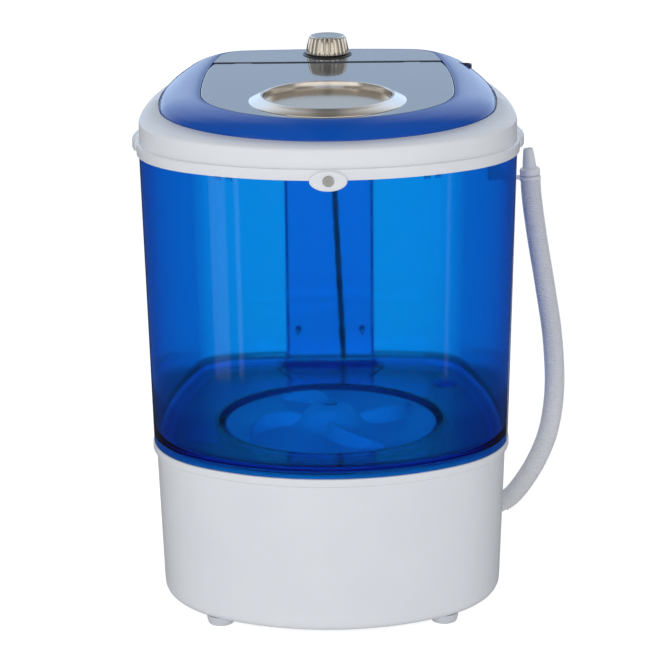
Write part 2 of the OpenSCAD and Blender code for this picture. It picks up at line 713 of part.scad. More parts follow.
module drain_elbow() color([0.82, 0.83, 0.85]) {
    wall = 2.4;
    top = floor_z - floor_t - 1;
    difference() {
        union() {
            translate([drain_x, drain_y, drain_z + bend_r]) cylinder(r = elbow_r, h = top - drain_z - bend_r);
            translate([drain_x, drain_y, top - 3]) cylinder(r = elbow_r + 4, h = 3);
            elbow_bend(elbow_r);
            translate([drain_x + bend_r, drain_y, drain_z]) rotate([0, 90, 0])
                cylinder(r = elbow_r, h = wall_x - drain_x - bend_r + 2);
            translate([drain_x + bend_r, drain_y, drain_z]) rotate([0, 90, 0])
                cylinder(r = spigot_r, h = hose_points[0].x + 8 - drain_x - bend_r);
        }
        translate([drain_x, drain_y, drain_z + bend_r]) cylinder(r = elbow_r - wall, h = 200);
        elbow_bend(elbow_r - wall);
        translate([drain_x + bend_r - 0.1, drain_y, drain_z]) rotate([0, 90, 0])
            cylinder(r = 6.2, h = 100);
    }
}

module elbow_bend(r) {
    translate([drain_x + bend_r, drain_y, drain_z + bend_r]) rotate([90, 0, 0])
        rotate([0, 0, 180]) rotate_extrude(angle = 90) translate([bend_r, 0]) circle(r = r);
}

wall_x = side_x(body, drain_y) - base_low_inset;

// Route of the drain hose in its upright plane, in x and z
hose_side = body_w/2 - 179;
hose_points = [[hose_side + 158, drain_z], [hose_side + 170, drain_z], [hose_side + 182, drain_z + 3],
               [hose_side + 197, drain_z + 19], [hose_side + 214, drain_z + 48],
               [hose_side + 226, drain_z + 82], [hose_side + 231, rim_z],
               [hose_side + 228, rim_z + 53], [hose_side + 220, ring_z - 176],
               [hose_side + 211, ring_z - 124], [hose_side + 205, ring_z - 84],
               [hose_side + 203, ring_z - 62]];

function spline(p, i, t) =
    let (a = p[max(i - 1, 0)], b = p[i], c = p[i + 1], d = p[min(i + 2, len(p) - 1)])
    0.5*(2*b + (c - a)*t + (2*a - 5*b + 4*c - d)*t*t + (3*b - a - 3*c + d)*t*t*t);

hose_fine = [for (i = [0:len(hose_points) - 2], k = [0:11]) spline(hose_points, i, k/12),];
hose_line = concat([hose_points[0]], [for (i = [1:len(hose_fine) - 1]) hose_fine[i]],
    [hose_points[len(hose_points) - 1]]);
hose_runs = [for (i = 0, s = 0; i < len(hose_line);
    s = i + 1 < len(hose_line) ? s + norm(hose_line[i + 1] - hose_line[i]) : s, i = i + 1) s];
hose_length = hose_runs[len(hose_runs) - 1];
hose_x = [for (i = [0:len(hose_line) - 1]) [hose_runs[i], hose_line[i].x]];
hose_z = [for (i = [0:len(hose_line) - 1]) [hose_runs[i], hose_line[i].y]];

function hose_at(s) = [lookup(s, hose_x), lookup(s, hose_z)];

// Direction of the hose at s, kept straight over one diameter at both ends
function hose_way(s) =
    let (m = min(max(s, 2*hose_r), hose_length - 2*hose_r), a = s < 2*hose_r ? 0 : m - 2,
         b = s > hose_length - 2*hose_r ? hose_length : m + 2,
         a2 = s > hose_length - 2*hose_r ? hose_length - 2*hose_r : a,
         b2 = s < 2*hose_r ? 2*hose_r : b, v = hose_at(b2) - hose_at(a2)) v/norm(v);

// Eight points round the hose at s
function hose_ring(s, r) =
    let (p = hose_at(s), v = hose_way(s))
    [for (k = [0:7]) let (a = -45*k - 22.5)
        [p.x - v.y*r*cos(a), drain_y + r*sin(a), p.y + v.x*r*cos(a)]];

ribs = floor(hose_length/rib_pitch);
rib_step = hose_length/ribs;
hose_gap = min([for (i = [0:8:len(hose_line) - 1], j = [i + 8:8:len(hose_line) - 1])
    if (hose_runs[j] - hose_runs[i] > 6*hose_r) norm(hose_line[j] - hose_line[i])]) - 2*hose_r;
echo(str("drain hose: length ", hose_length, ", ribs ", ribs, ", least gap to itself ", hose_gap));

module drain_hose() color([0.93, 0.94, 0.95]) {
    crests = [for (i = [0:ribs - 1], k = [0, 1])
        hose_ring((i + (k == 0 ? 0.25 : 0.75))*rib_step, k == 0 ? hose_r : hose_r - 1.2)];
    bore_n = floor(ribs/4);
    bore = [for (i = [bore_n:-1:0]) hose_ring(hose_length*i/bore_n, hose_bore_r/cos(22.5))];
    skin(concat([hose_ring(0, hose_r - 1)], crests, [hose_ring(hose_length, hose_r - 1)], bore),
        loop = true);
}

module hose_clamp() color([0.55, 0.56, 0.58])
    translate([hose_points[0].x + 3, drain_y, drain_z]) rotate([0, 90, 0]) {
        tube(hose_r + 1.3, hose_r + 0.1, 7);
        for (s = [-1, 1]) translate([hose_r + 0.6, s*2.6 - 0.7, 1]) cube([7, 1.4, 5]);
    }

nozzle = hose_points[len(hose_points) - 1];
nozzle_tilt = atan2(hose_way(hose_length).x, hose_way(hose_length).y);

// Places its children at the top end of the hose, along its run
module at_nozzle() {
    translate([nozzle.x, drain_y, nozzle.y]) rotate([0, nozzle_tilt, 0]) children();
}

module drain_nozzle() color([0.88, 0.89, 0.9]) at_nozzle() difference() {
    rotate_extrude() polygon([[0, -14], [hose_bore_r - 0.2, -14], [hose_bore_r - 0.2, 0],
        [8.6, 0], [8.6, 4], [10.2, 4.6], [10.2, 10.6], [9.4, 11.4], [7.2, 12], [6.2, 20],
        [4.9, 31], [4.4, 31.6], [0, 31.6]]);
    translate([0, 0, 10]) cylinder(r = nozzle_bore_r, h = 30);
    translate([0, 0, -15]) cylinder(r = 5.6, h = 26);
}

module hose_holder() color([0.82, 0.83, 0.85]) {
    x0 = side_x(body, drain_y - 8);
    at_nozzle() translate([0, 0, 0.3]) difference() {
        tube(11.4, 8.9, 3.6);
        rotate(0) translate([4, -5, -1]) cube([20, 10, 6]);
    }
    translate([x0 + 0.3, drain_y - 4, nozzle.y + 0.4]) cube([nozzle.x - x0 - 10, 8, 3]);
    translate([x0 + 0.3, drain_y - 8, nozzle.y + 0.4]) cube([3, 16, ring_z + 8 - nozzle.y]);
    translate([x0 + 3, drain_y + 1.5, nozzle.y + 3]) rotate([90, 0, 0]) linear_extrude(3)
        polygon([[0, 0], [nozzle.x - x0 - 16, 0], [0, 30]]);
}

// Drive under the tub floor

bracket_top = sump_under;
bracket_t = 2.5;
housing_top = bracket_top - bracket_t;
belt_z = housing_top - motor_h - 23;
belt_h = 6;

module drive_bracket() color([0.6, 0.62, 0.64])
    translate([0, 0, bracket_top - bracket_t]) difference() {
        linear_extrude(bracket_t) polygon([[-motor_x - 40, -34], [-motor_x + 10, -46], [34, -46],
            [46, -34], [46, 34], [34, 46], [-motor_x + 10, 46], [-motor_x - 40, 34]]);
        translate([0, 0, -1]) cylinder(r = hub_r + 0.1, h = 5);
        for (p = bracket_places()) translate([p.x, p.y, -1]) cylinder(r = 2.1, h = 5);
        for (a = [45:90:315]) translate([-motor_x + 30*cos(a), 30*sin(a), -1]) cylinder(r = 2.1, h = 5);
    }

module bracket_screws() color([0.6, 0.6, 0.62]) {
    for (p = bracket_places()) translate([p.x, p.y, housing_top - 3.5]) mirror([0, 0, 1])
        translate([0, 0, -bracket_t - 3.5 - 1.8]) pan_screw(1.5, bracket_t + 3.5 + 1.8, 3.4, 2);
    for (a = [45:90:315]) translate([-motor_x + 30*cos(a), 30*sin(a), bracket_top - 0.1]) mirror([0, 0, 1])
        cylinder(r = 2, h = bracket_t + 2.2);
}

bush_l = 16;

module bearing_housing() color([0.3, 0.31, 0.33]) {
    tube_bottom = belt_z + 32;
    difference() {
        union() {
            translate([0, 0, housing_top - 3.5]) cylinder(r = 38, h = 3.5);
            translate([0, 0, tube_bottom]) cylinder(r = hub_r, h = sump_z - tube_bottom);
            for (a = [0:90:270]) rotate(a) translate([hub_r - 1, -1.5, tube_bottom + 12])
                rotate([90, 0, 0]) translate([0, 0, -3]) linear_extrude(3)
                    polygon([[0, 0], [24, housing_top - tube_bottom - 15], [0, housing_top - tube_bottom - 15]]);
        }
        translate([0, 0, tube_bottom - 1]) cylinder(r = 9, h = 200);
        for (p = bracket_places()) translate([p.x, p.y, housing_top - 5]) cylinder(r = 1.7, h = 8);
    }
}

module shaft_bushes() color([0.72, 0.55, 0.3])
    for (z = [belt_z + 33, sump_z - 8 - bush_l]) translate([0, 0, z]) tube(9, shaft_r + run, bush_l);

module shaft_seal() color([0.1, 0.1, 0.11]) translate([0, 0, sump_z - 6]) tube(8.9, shaft_r + 0.06, 5.6);

module drive_shaft() color([0.75, 0.76, 0.78]) {
    translate([0, 0, belt_z - 14]) cylinder(r = shaft_r, h = sump_z + 22 - belt_z + 14);
    translate([0, 0, belt_z + 30]) tube(shaft_r + 2.5, shaft_r - 0.5, 2);
}

// A pulley with a groove for the belt, centred on the belt's height
module pulley(r, groove) {
    rotate_extrude() polygon([[0, -belt_h/2 - 2.2], [r, -belt_h/2 - 2.2], [r, -belt_h/2 - 1],
        [r - groove, -belt_h/2 - 0.5], [r - groove, belt_h/2 + 0.5], [r, belt_h/2 + 1],
        [r, belt_h/2 + 2.2], [0, belt_h/2 + 2.2]]);
}

groove_d = 6;

module drive_pulley() color([0.25, 0.26, 0.28]) translate([0, 0, belt_z]) difference() {
    union() {
        pulley(pulley_r, groove_d);
        translate([0, 0, -8]) cylinder(r = 11, h = 18);
    }
    translate([0, 0, -20]) cylinder(r = shaft_r, h = 40);
    for (a = [0:60:300]) rotate(a) translate([0, 0, -10]) linear_extrude(20)
        polygon(concat([for (b = [-20:10:20]) 17*[cos(b), sin(b)]],
                       [for (b = [24:-8:-24]) (pulley_r - groove_d - 5)*[cos(b), sin(b)]]));
}

module pulley_nut() color([0.7, 0.7, 0.72]) translate([0, 0, belt_z - 13.5]) difference() {
    cylinder(r = 8.5, h = 5.4, $fn = 6);
    translate([0, 0, -1]) cylinder(r = shaft_r, h = 8);
}

module drive_belt() color([0.1, 0.1, 0.1]) {
    n = 24;
    r1 = pulley_r - groove_d + 0.4;
    r2 = motor_pulley_r - groove_d + 0.4;
    lean = acos((r1 - r2)/motor_x);
    loop = function (t) concat(
        [for (i = [0:2*n]) let (a = -180 + lean + (360 - 2*lean)*i/(2*n)) (r1 + t)*[cos(a), sin(a)]],
        [for (i = [0:n]) let (a = 180 - lean + 2*lean*i/n) [-motor_x, 0] + (r2 + t)*[cos(a), sin(a)]]);
    translate([0, 0, belt_z - belt_h/2]) linear_extrude(belt_h) difference() {
        polygon(loop(4.6));
        polygon(loop(0));
    }
}

motor_top = bracket_top - bracket_t;
motor_z = motor_top - motor_h;

module motor_housing() color([0.55, 0.57, 0.6]) translate([-motor_x, 0, 0]) {
    difference() {
        translate([0, 0, motor_z]) cylinder(r = motor_r, h = motor_h);
        translate([0, 0, motor_z + 3]) cylinder(r = motor_r - 2.5, h = motor_h - 7);
        translate([0, 0, motor_z - 1]) cylinder(r = motor_shaft_r + run, h = motor_h - 1);
        for (a = [45:90:315]) translate([30*cos(a), 30*sin(a), motor_top - 3]) cylinder(r = 2, h = 4);
        for (a = [0:30:330], z = [8, motor_h - 14]) rotate(a) translate([motor_r - 4, -3, motor_z + z])
            cube([6, 6, 6]);
    }
}

module motor_stator() color([0.5, 0.3, 0.18]) translate([-motor_x, 0, motor_z + 14]) {
    tube(motor_r - 2.6, 29, motor_h - 30);
    for (z = [-6, motor_h - 30]) translate([0, 0, z]) tube(motor_r - 8, 30, 6);
}

module motor_rotor() color([0.7, 0.7, 0.72]) translate([-motor_x, 0, 0]) {
    translate([0, 0, belt_z - 9]) cylinder(r = motor_shaft_r, h = motor_top - 2.4 - belt_z + 9);
    translate([0, 0, motor_z + 14]) tube(28.5, motor_shaft_r, motor_h - 30);
}

module motor_pulley() color([0.25, 0.26, 0.28]) translate([-motor_x, 0, belt_z]) difference() {
    union() {
        pulley(motor_pulley_r, groove_d);
        translate([0, 0, -8]) cylinder(r = 8, h = 15);
    }
    translate([0, 0, -20]) cylinder(r = motor_shaft_r, h = 40);
}

module motor_fan() color([0.15, 0.15, 0.16]) translate([-motor_x, 0, belt_z + 9]) difference() {
    union() {
        cylinder(r = 10, h = 11);
        cylinder(r = 34, h = 1.6);
        for (a = [0:40:320]) rotate(a) translate([9, -0.8, 0]) rotate([90, 0, 0]) translate([0, 0, -1.6])
            linear_extrude(1.6) polygon([[0, 0], [24, 0], [24, 7], [0, 11]]);
    }
    translate([0, 0, -1]) cylinder(r = motor_shaft_r, h = 20);
}

capacitor_x = body_w/2 - 91;
capacitor_y = -58;

module capacitor() color([0.85, 0.85, 0.86]) translate([capacitor_x, capacitor_y, base_z + 8]) {
    cylinder(r = capacitor_r, h = 62);
    for (s = [-1, 1]) translate([s*6 - 0.4, -3, 61]) cube([0.8, 6, 9]);
}

module capacitor_clip() color([0.7, 0.71, 0.73]) translate([capacitor_x, capacitor_y, base_z + 5]) {
    cylinder(r = capacitor_r + 2, h = 2.7);
    tube(capacitor_r + 2, capacitor_r + 0.2, 18);
}

// Pulsator: a dished disc with a domed hub and curved vanes

module pulsator() color([0.05, 0.25, 0.7]) translate([0, 0, sump_z]) difference() {
    union() {
        rotate_extrude($fn = 96) polygon([[0, 1.2], [20, 1.2], [22, 2.6], [pulsator_r - 2, 2.6],
            [pulsator_r, 4], [pulsator_r, 7], [pulsator_r - 1.5, 8], [pulsator_r - 5, 7.4],
            [pulsator_r - 22, 5.4], [44, 6.4], [34, 9], [27, 16], [20, 23], [12, 26.5], [0, 27]]);
        for (i = [0:vanes - 1]) rotate(360*i/vanes) vane();
    }
    cylinder(r = shaft_r, h = 22);
    translate([0, 0, 20]) cylinder(r = 3, h = 10);
    translate([0, 0, 25]) cylinder(r = 6.5, h = 5);
    for (i = [0:vanes - 1], r = [52:10:82]) rotate(360*(i + 0.5)/vanes + (r - 52)*0.5)
        translate([r, 0, 0]) cylinder(r = 2.2, h = 12);
}

// One swept vane, highest in the middle and low at both ends
module vane() {
    n = 10;
    rings = [for (i = [0:n]) let (t = i/n, r = 18 + (pulsator_r - 26)*t, a = 34*t*t,
                                 h = 6 + vane_h*pow(sin(180*(0.12 + 0.8*t)), 0.8), w = 11 - 5*t)
        [for (p = [[1, 3], [0.72, 0.45*h + 2], [0.3, 0.9*h + 0.6], [0, h], [-0.3, 0.9*h + 0.6],
                   [-0.72, 0.45*h + 2], [-1, 3]])
            [r*cos(a) - p[0]*w*sin(a + 12), r*sin(a) + p[0]*w*cos(a + 12), p[1]]]];
    skin(rings);
}

module pulsator_screw() color([0.78, 0.78, 0.8]) translate([0, 0, sump_z + 22]) pan_screw(2.9, 3, 5.6, 2.6);

base_shell();
base_plate();
feet();
foot_screws();
tub();
rear_cover();
rear_cover_screws();
wiring_loom();
top_ring();
front_screw();
top_cover();
control_panel();
knob_ring();
timer_housing();
timer_body();
water_inlet();
hinge_pins();
drain_grate();
drain_elbow();
drain_hose();
hose_clamp();
drain_nozzle();
hose_holder();
cable_gland();
drive_bracket();
bracket_screws();
bearing_housing();
shaft_bushes();
shaft_seal();
motor_housing();
motor_stator();
drive_belt();
capacitor();
capacitor_clip();
lid_panel();
lid_bezel();
lid_dish();
lid_liner();
timer_knob();
timer_spindle();
pulsator();
pulsator_screw();
drive_shaft();
drive_pulley();
pulley_nut();
motor_rotor();
motor_pulley();
motor_fan();
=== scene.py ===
# %% [markdown]
# # A portable washing machine
# A small top-loading washer: a white base with the motor in it, a clear blue tub, a white ring, a
# blue cover and a tilted lid with a control panel behind it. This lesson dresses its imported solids,
# the frame, with smooth pieces and finishes. The floor is at z = 0, the drive axis at x = y = 0 and
# the front towards -y. The scene is in metres, and outlines and profiles are in millimetres.

# %% Load the frame
import bpy
import bmesh
from math import acos, asin, atan2, cos, degrees, hypot, pi, radians, sin, sqrt, tan
from mathutils import Matrix, Vector


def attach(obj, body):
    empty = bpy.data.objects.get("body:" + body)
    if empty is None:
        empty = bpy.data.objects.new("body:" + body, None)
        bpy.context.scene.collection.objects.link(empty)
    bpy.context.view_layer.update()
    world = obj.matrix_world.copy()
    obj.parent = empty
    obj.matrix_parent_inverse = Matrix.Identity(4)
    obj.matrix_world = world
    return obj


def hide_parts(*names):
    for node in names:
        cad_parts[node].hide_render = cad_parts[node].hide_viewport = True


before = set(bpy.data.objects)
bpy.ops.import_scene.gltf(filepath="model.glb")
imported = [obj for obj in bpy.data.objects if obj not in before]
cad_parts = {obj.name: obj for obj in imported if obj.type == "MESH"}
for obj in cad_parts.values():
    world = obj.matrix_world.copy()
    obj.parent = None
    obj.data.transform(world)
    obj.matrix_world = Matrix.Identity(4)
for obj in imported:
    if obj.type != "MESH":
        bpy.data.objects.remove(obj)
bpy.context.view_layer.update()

# %% [markdown]
# ## The camera
# The photograph looks down at the machine by about 16 degrees, from a little over two metres away,
# through a long lens, so that its sides stay nearly upright. The place, tilt, lens and half a degree
# of roll were found by fitting the ring, the tub's edges and the base to the photograph.

# %% Set up the camera


def add_object(name, data):
    """A new object in the scene."""
    made = bpy.data.objects.new(name, data)
    bpy.context.scene.collection.objects.link(made)
    return made


lens = bpy.data.cameras.new("camera")
lens.sensor_width = 36
lens.lens = 123.84
camera = add_object("camera", lens)
look_down = radians(16.019)
roll = radians(-0.5524)
camera.matrix_world = (Matrix.Translation((0.00243, -2.14384, 0.8724))
                       @ Matrix.Rotation(pi/2 - look_down, 4, "X")
                       @ Matrix.Rotation(roll, 4, "Z"))
bpy.context.scene.camera = camera
bpy.context.scene.view_settings.view_transform = "Standard"
print("camera at", [round(c, 3) for c in camera.matrix_world.translation])

# %% [markdown]
# ## Drawing with a few operators
# Most of the machine is lofted: closed outlines at different heights are joined into a skin. An
# outline is easier to change when it is drawn than as a table of points: one vertex is swung round
# a centre with the spin operator, or pulled out straight, and the half that this leaves behind is
# mirrored. Bridging two such loops gives the wall between them.

# %% Swing, pull and mirror
mm = 0.001
up = (0, 0, 1)


def at(x, y, z=0):
    """The place of a point that is given in millimetres."""
    return (x*mm, y*mm, z*mm)


def swing(bm, vert, centre, angle, steps):
    """Sweeps a vertex round an upright axis by an angle in degrees, and returns the one at the end."""
    swept = bmesh.ops.spin(bm, geom=[vert], cent=centre, axis=up, angle=radians(angle),
                           steps=steps, use_duplicate=False)
    return [part for part in swept["geom_last"] if isinstance(part, bmesh.types.BMVert)][0]


def pull(bm, vert, to, steps=1):
    """Draws a straight line from a vertex to a point, in equal steps."""
    start, to = vert.co.copy(), Vector(to)
    for step in range(1, steps + 1):
        vert = bmesh.ops.extrude_vert_indiv(bm, verts=[vert])["verts"][0]
        vert.co = start.lerp(to, step/steps)
    return vert


def joined(vert):
    """All vertices and edges that can be reached from a vertex."""
    seen, edges, waiting = {vert}, set(), [vert]
    while waiting:
        for edge in waiting.pop().link_edges:
            edges.add(edge)
            for end in edge.verts:
                if end not in seen:
                    seen.add(end)
                    waiting.append(end)
    return list(seen), list(edges)


def outward(bm):
    """Makes all faces look outwards."""
    bmesh.ops.recalc_face_normals(bm, faces=bm.faces[:])


def revolve(bm, edges, steps, centre=(0, 0, 0)):
    """Spins edges all the way round an upright axis."""
    bmesh.ops.spin(bm, geom=edges, cent=centre, axis=up, angle=2*pi, steps=steps,
                   use_merge=True, use_duplicate=False)
    bmesh.ops.remove_doubles(bm, verts=bm.verts[:], dist=1e-7)


def mirror_half(bm, vert):
    """Mirrors the half outline that a vertex lies on, and returns the edges of the whole loop."""
    verts, edges = joined(vert)
    bmesh.ops.mirror(bm, geom=verts + edges, matrix=Matrix.Identity(4), merge_dist=1e-6, axis="X")
    return joined(vert)[1]


def verts_of(loop):
    """The vertices of a loop of edges."""
    return list({vert for edge in loop for vert in edge.verts})


def skin(bm, loops, closed=False, stack=True):
    """Bridges each loop to the next one.

    The bridge goes wrong where two loops lie in one plane, so level loops are stacked 50 mm apart
    while they are bridged, and then dropped back to their heights.
    """
    heights = {}
    for k, loop in enumerate(loops if stack else []):
        for vert in verts_of(loop):
            heights[vert] = vert.co.z
            vert.co.z = 50*mm*k
    for first, second in zip(loops, loops[1:] + loops[:1] if closed else loops[1:]):
        bmesh.ops.bridge_loops(bm, edges=first + second)
    for vert, height in heights.items():
        vert.co.z = height


# %% Boxes, cylinders and turned parts


def block(bm, low, high):
    """A box between two corners, in millimetres; returns its vertices."""
    made = bmesh.ops.create_cube(bm, size=1.0)["verts"]
    bmesh.ops.scale(bm, vec=[(b - a)*mm for a, b in zip(low, high)], verts=made)
    bmesh.ops.translate(bm, vec=[(b + a)/2*mm for a, b in zip(low, high)], verts=made)
    return made


def rod(bm, radius, length, middle, turn="Z", segments=32):
    """A cylinder in millimetres, a quarter turn round one axis from upright; returns its vertices."""
    matrix = Matrix.Translation(at(*middle)) @ Matrix.Rotation(pi/2, 4, turn)
    return bmesh.ops.create_cone(bm, cap_ends=True, segments=segments, radius1=radius*mm,
                                 radius2=radius*mm, depth=length*mm, matrix=matrix)["verts"]


def turn_profile(bm, points, steps, closed=False, x=0, y=0):
    """Spins a profile, given as radius and height in millimetres, round an upright axis."""
    before = set(bm.edges)
    vert = first = bm.verts.new(at(x + points[0][0], y, points[0][1]))
    for r, z in points[1:]:
        vert = pull(bm, vert, at(x + r, y, z))
    if closed:
        bm.edges.new((vert, first))
    revolve(bm, [e for e in bm.edges if e not in before], steps, at(x, y))


def polar(vert):
    """The distance in millimetres and the direction in degrees of a vertex from the z axis."""
    return hypot(vert.co.x, vert.co.y)/mm, degrees(atan2(vert.co.y, vert.co.x))


# %% [markdown]
# ## Pieces
# A finished piece is a mesh object at the origin, whose place is in its mesh. It rides on a body, so
# that it turns with it, stands for the solids that it replaces, and names the material slot it
# takes its finish from. Smooth shading with sharp edges above an angle suits moulded parts.

# %% Make a piece
finishes = {}


def mesh_of(bm, name):
    """Turns a bmesh into a mesh."""
    mesh = bpy.data.meshes.new(name)
    bm.to_mesh(mesh)
    bm.free()
    return mesh


def piece(name, bm, slot, replaces=(), body="machine", sharp=32, normals=True, finish=None):
    """Turns a bmesh into a piece of the machine."""
    if normals:
        bmesh.ops.remove_doubles(bm, verts=bm.verts[:], dist=1e-7)
        outward(bm)
    mesh = mesh_of(bm, name)
    mesh.polygons.foreach_set("use_smooth", [True]*len(mesh.polygons))
    mesh.set_sharp_from_angle(angle=radians(sharp))
    part = add_object(name, mesh)
    mesh.materials.append(finishes[finish or slot])
    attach(part, body)
    if replaces:
        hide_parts(*replaces)
    print(f"{name}: {len(mesh.polygons)} faces, for {', '.join(replaces) or 'no solid'}")
    return part


def cut(part, tool):
    """Cuts closed shapes out of a piece, with a Boolean that is applied at once."""
    outward(tool)
    cutter = add_object("cutter", mesh_of(tool, "cutter"))
    boolean = part.modifiers.new("cut", "BOOLEAN")
    boolean.object = cutter
    boolean.operation = "DIFFERENCE"
    boolean.solver = "EXACT"
    ready = part.evaluated_get(bpy.context.evaluated_depsgraph_get())
    result = bpy.data.meshes.new_from_object(ready)
    part.modifiers.clear()
    spent = (cutter.data, part.data)
    part.data = result
    bpy.data.objects.remove(cutter)
    for mesh in spent:
        bpy.data.meshes.remove(mesh)
    print(f"{part.name}: cut, now {len(result.polygons)} faces")


# %% [markdown]
# ## Finishes
# Colours are written as sRGB hex values and turned to the linear values that the shaders work in.
# One small function adds a node, sets its values and links what goes into it, so that a material
# reads from top to bottom like a recipe.

# %% Colours and nodes


def linear(hex_colour):
    """The linear colour of an sRGB hex value."""
    parts = [int(hex_colour[i:i + 2], 16)/255 for i in (1, 3, 5)]
    return [c/12.92 if c <= 0.04045 else ((c + 0.055)/1.055)**2.4 for c in parts] + [1.0]


def add_node(tree, kind, inputs=None):
    """Adds a node, and gives its properties and sockets their values or what is linked to them.

    What is linked is an output, or a node whose first output in use is taken.
    """
    node = tree.nodes.new("ShaderNode" + kind)
    for name, value in (inputs or {}).items():
        if isinstance(value, bpy.types.Node):
            value = next(output for output in value.outputs if output.enabled)
        if isinstance(value, bpy.types.NodeSocket):
            tree.links.new(value, node.inputs[name])
        elif isinstance(name, int) or name in node.inputs:
            node.inputs[name].default_value = value
        else:
            setattr(node, name, value)
    return node


def start_material(name):
    """Starts the finish of a name; returns its nodes and the point on the object being shaded."""
    material = bpy.data.materials.new(name)
    material.use_nodes = True
    tree = material.node_tree
    tree.nodes.clear()
    finishes[name] = material
    return tree, add_node(tree, "TexCoord").outputs["Object"]


# %% [markdown]
# ### Moulded plastic
# Most of the machine is injection-moulded. Such plastic (IOR about 1.5) is never quite even: its
# colour drifts by a hair as the melt flows, the spark-eroded mould leaves a fine grain, and handling
# makes patches a little smoother. The grain is drawn at about a millimetre, several times too
# coarse, because the real one would not show at this distance.

# %% A moulded plastic


def moulded(name, colour, drift, roughness, grain=1.0, depth=0.02, ior=1.5):
    """Plastic with a drifting colour, patchy gloss and mould grain; grain is in millimetres."""
    tree, place = start_material(name)
    flow = add_node(tree, "TexNoise", {"Scale": 1/(60*mm), "Detail": 3.0, "Vector": place})
    tint = add_node(tree, "Mix", {"data_type": "RGBA", 6: linear(colour), 7: linear(drift), 0: flow})
    wear = add_node(tree, "TexNoise", {"Scale": 1/(18*mm), "Detail": 4.0, "Vector": place})
    gloss = add_node(tree, "MapRange", {"To Min": roughness*0.8, "To Max": roughness*1.2, "Value": wear})
    texture = add_node(tree, "TexNoise", {"Scale": 1/(grain*mm), "Detail": 2.0, "Vector": place})
    bump = add_node(tree, "Bump", {"Strength": depth, "Distance": 0.3*mm, "Height": texture})
    shader = add_node(tree, "BsdfPrincipled",
                      {"IOR": ior, "Base Color": tint, "Roughness": gloss, "Normal": bump})
    add_node(tree, "OutputMaterial", {"Surface": shader})


# ABS for the housings: a cool white with a soft sheen
moulded("white_plastic", "#EDEFF2", "#E4E7EB", 0.36)
# The inner grey plastic of the brackets and covers: duller and darker
moulded("grey_plastic", "#A9ADB2", "#9DA1A7", 0.5)
# Polyethylene of the hose: milky and waxy
moulded("hose_plastic", "#E9EAEC", "#DFE1E5", 0.42, grain=1.5, depth=0.03)
# The glossy blue cover, moulded in a polished tool, so its grain is very faint. Its low IOR keeps
# the colour deep where it faces the eye, and leaves the sheen to the sides that slant away.
moulded("blue_plastic", "#0054BA", "#004EAE", 0.12, grain=2.0, depth=0.004, ior=1.35)
# Pale blue polypropylene of the pulsator, which is seen through the tub
moulded("pulsator_plastic", "#B4C8E4", "#A9BEDC", 0.35)
# Navy plastic of the water inlet
moulded("navy_plastic", "#14214A", "#101B3E", 0.3)
# Black plastic under the knob, behind the lid and in the base
moulded("black_plastic", "#17181A", "#1D1E20", 0.4)
# Thermoplastic rubber of the feet: pale and matt, with a coarser grain
moulded("foot_rubber", "#D4D8DC", "#C7CBD0", 0.75, grain=1.4, depth=0.08)
# Black rubber of the belt, seal and cable gland
moulded("black_rubber", "#16171A", "#202225", 0.7, grain=1.4, depth=0.1)
print(len(finishes), "plastics and rubbers")

# %% [markdown]
# ### Metals
# Screws, shafts and brackets are plain steel, and the motor's housing and small pulley are cast
# aluminium. Bare metal isn't equally dull all over, so its roughness varies in patches a few
# millimetres wide. A metal's colour is that of its reflection.

# %% Plain metals


def metal(name, colour, roughness, spread, grain, metallic=1.0):
    """Bare metal whose roughness varies over a grain in millimetres."""
    tree, place = start_material(name)
    marks = add_node(tree, "TexNoise", {"Scale": 1/(grain*mm), "Detail": 4.0, "Vector": place})
    rough = add_node(tree, "MapRange",
                     {"To Min": roughness - spread, "To Max": roughness + spread, "Value": marks})
    bump = add_node(tree, "Bump", {"Strength": 0.04, "Distance": 0.2*mm, "Height": marks})
    shader = add_node(tree, "BsdfPrincipled",
                      {"Base Color": linear(colour), "Metallic": metallic, "Roughness": rough,
                       "Normal": bump})
    add_node(tree, "OutputMaterial", {"Surface": shader})


metal("steel", "#B8B9BB", 0.32, 0.1, 3.0)
metal("aluminium", "#C4C6C9", 0.42, 0.08, 2.0)
# Sintered bronze of the shaft's bushes
metal("bronze", "#A9824F", 0.4, 0.08, 2.0)
# The plated screw in the boss is only partly metallic, so that it stays pale in the white ring
metal("nickel", "#C9C8C0", 0.3, 0.08, 3.0, metallic=0.4)
print("metals ready")

# %% [markdown]
# ### The clear blue tub
# The tub is moulded in a clear plastic (IOR 1.5) that is dyed blue through its whole wall, so a
# volume absorbs red most, green less and blue least. The surface is nearly colourless where it
# faces the eye and pale blue at a slant, a painted shade that deepens the tub's edges. The wall
# would keep every lamp out, because a path tracer can't aim at a lamp through a bent ray, so for
# shadow rays it is tinted transparent.

# %% Clear blue plastic
tree, place = start_material("clear_blue")
haze = add_node(tree, "TexNoise", {"Scale": 1/(25*mm), "Detail": 5.0, "Vector": place})
rough = add_node(tree, "MapRange", {"To Min": 0.02, "To Max": 0.09, "Value": haze})
ripple = add_node(tree, "TexNoise", {"Scale": 1/(40*mm), "Detail": 1.0, "Vector": place})
bump = add_node(tree, "Bump", {"Strength": 0.06, "Distance": 1.0*mm, "Height": ripple})
# Painted shade: the surface turns pale blue where it slants away from the eye, which darkens the tub's
# edges.
slant = add_node(tree, "LayerWeight", {"Blend": 0.5}).outputs["Facing"]
share = add_node(tree, "MapRange", {"From Min": 0.1, "From Max": 0.6, "Value": slant})
slant_shade_tint = add_node(tree, "Mix",
                     {"data_type": "RGBA", 6: linear("#F2FAFF"), 7: linear("#8FB5DD"), 0: share})
glass = add_node(tree, "BsdfPrincipled",
                 {"IOR": 1.5, "Transmission Weight": 1.0, "Base Color": slant_shade_tint, "Roughness": rough,
                  "Normal": bump})
see_through = add_node(tree, "BsdfTransparent", {"Color": linear("#E6F6FF")})
ray = add_node(tree, "LightPath").outputs["Is Shadow Ray"]
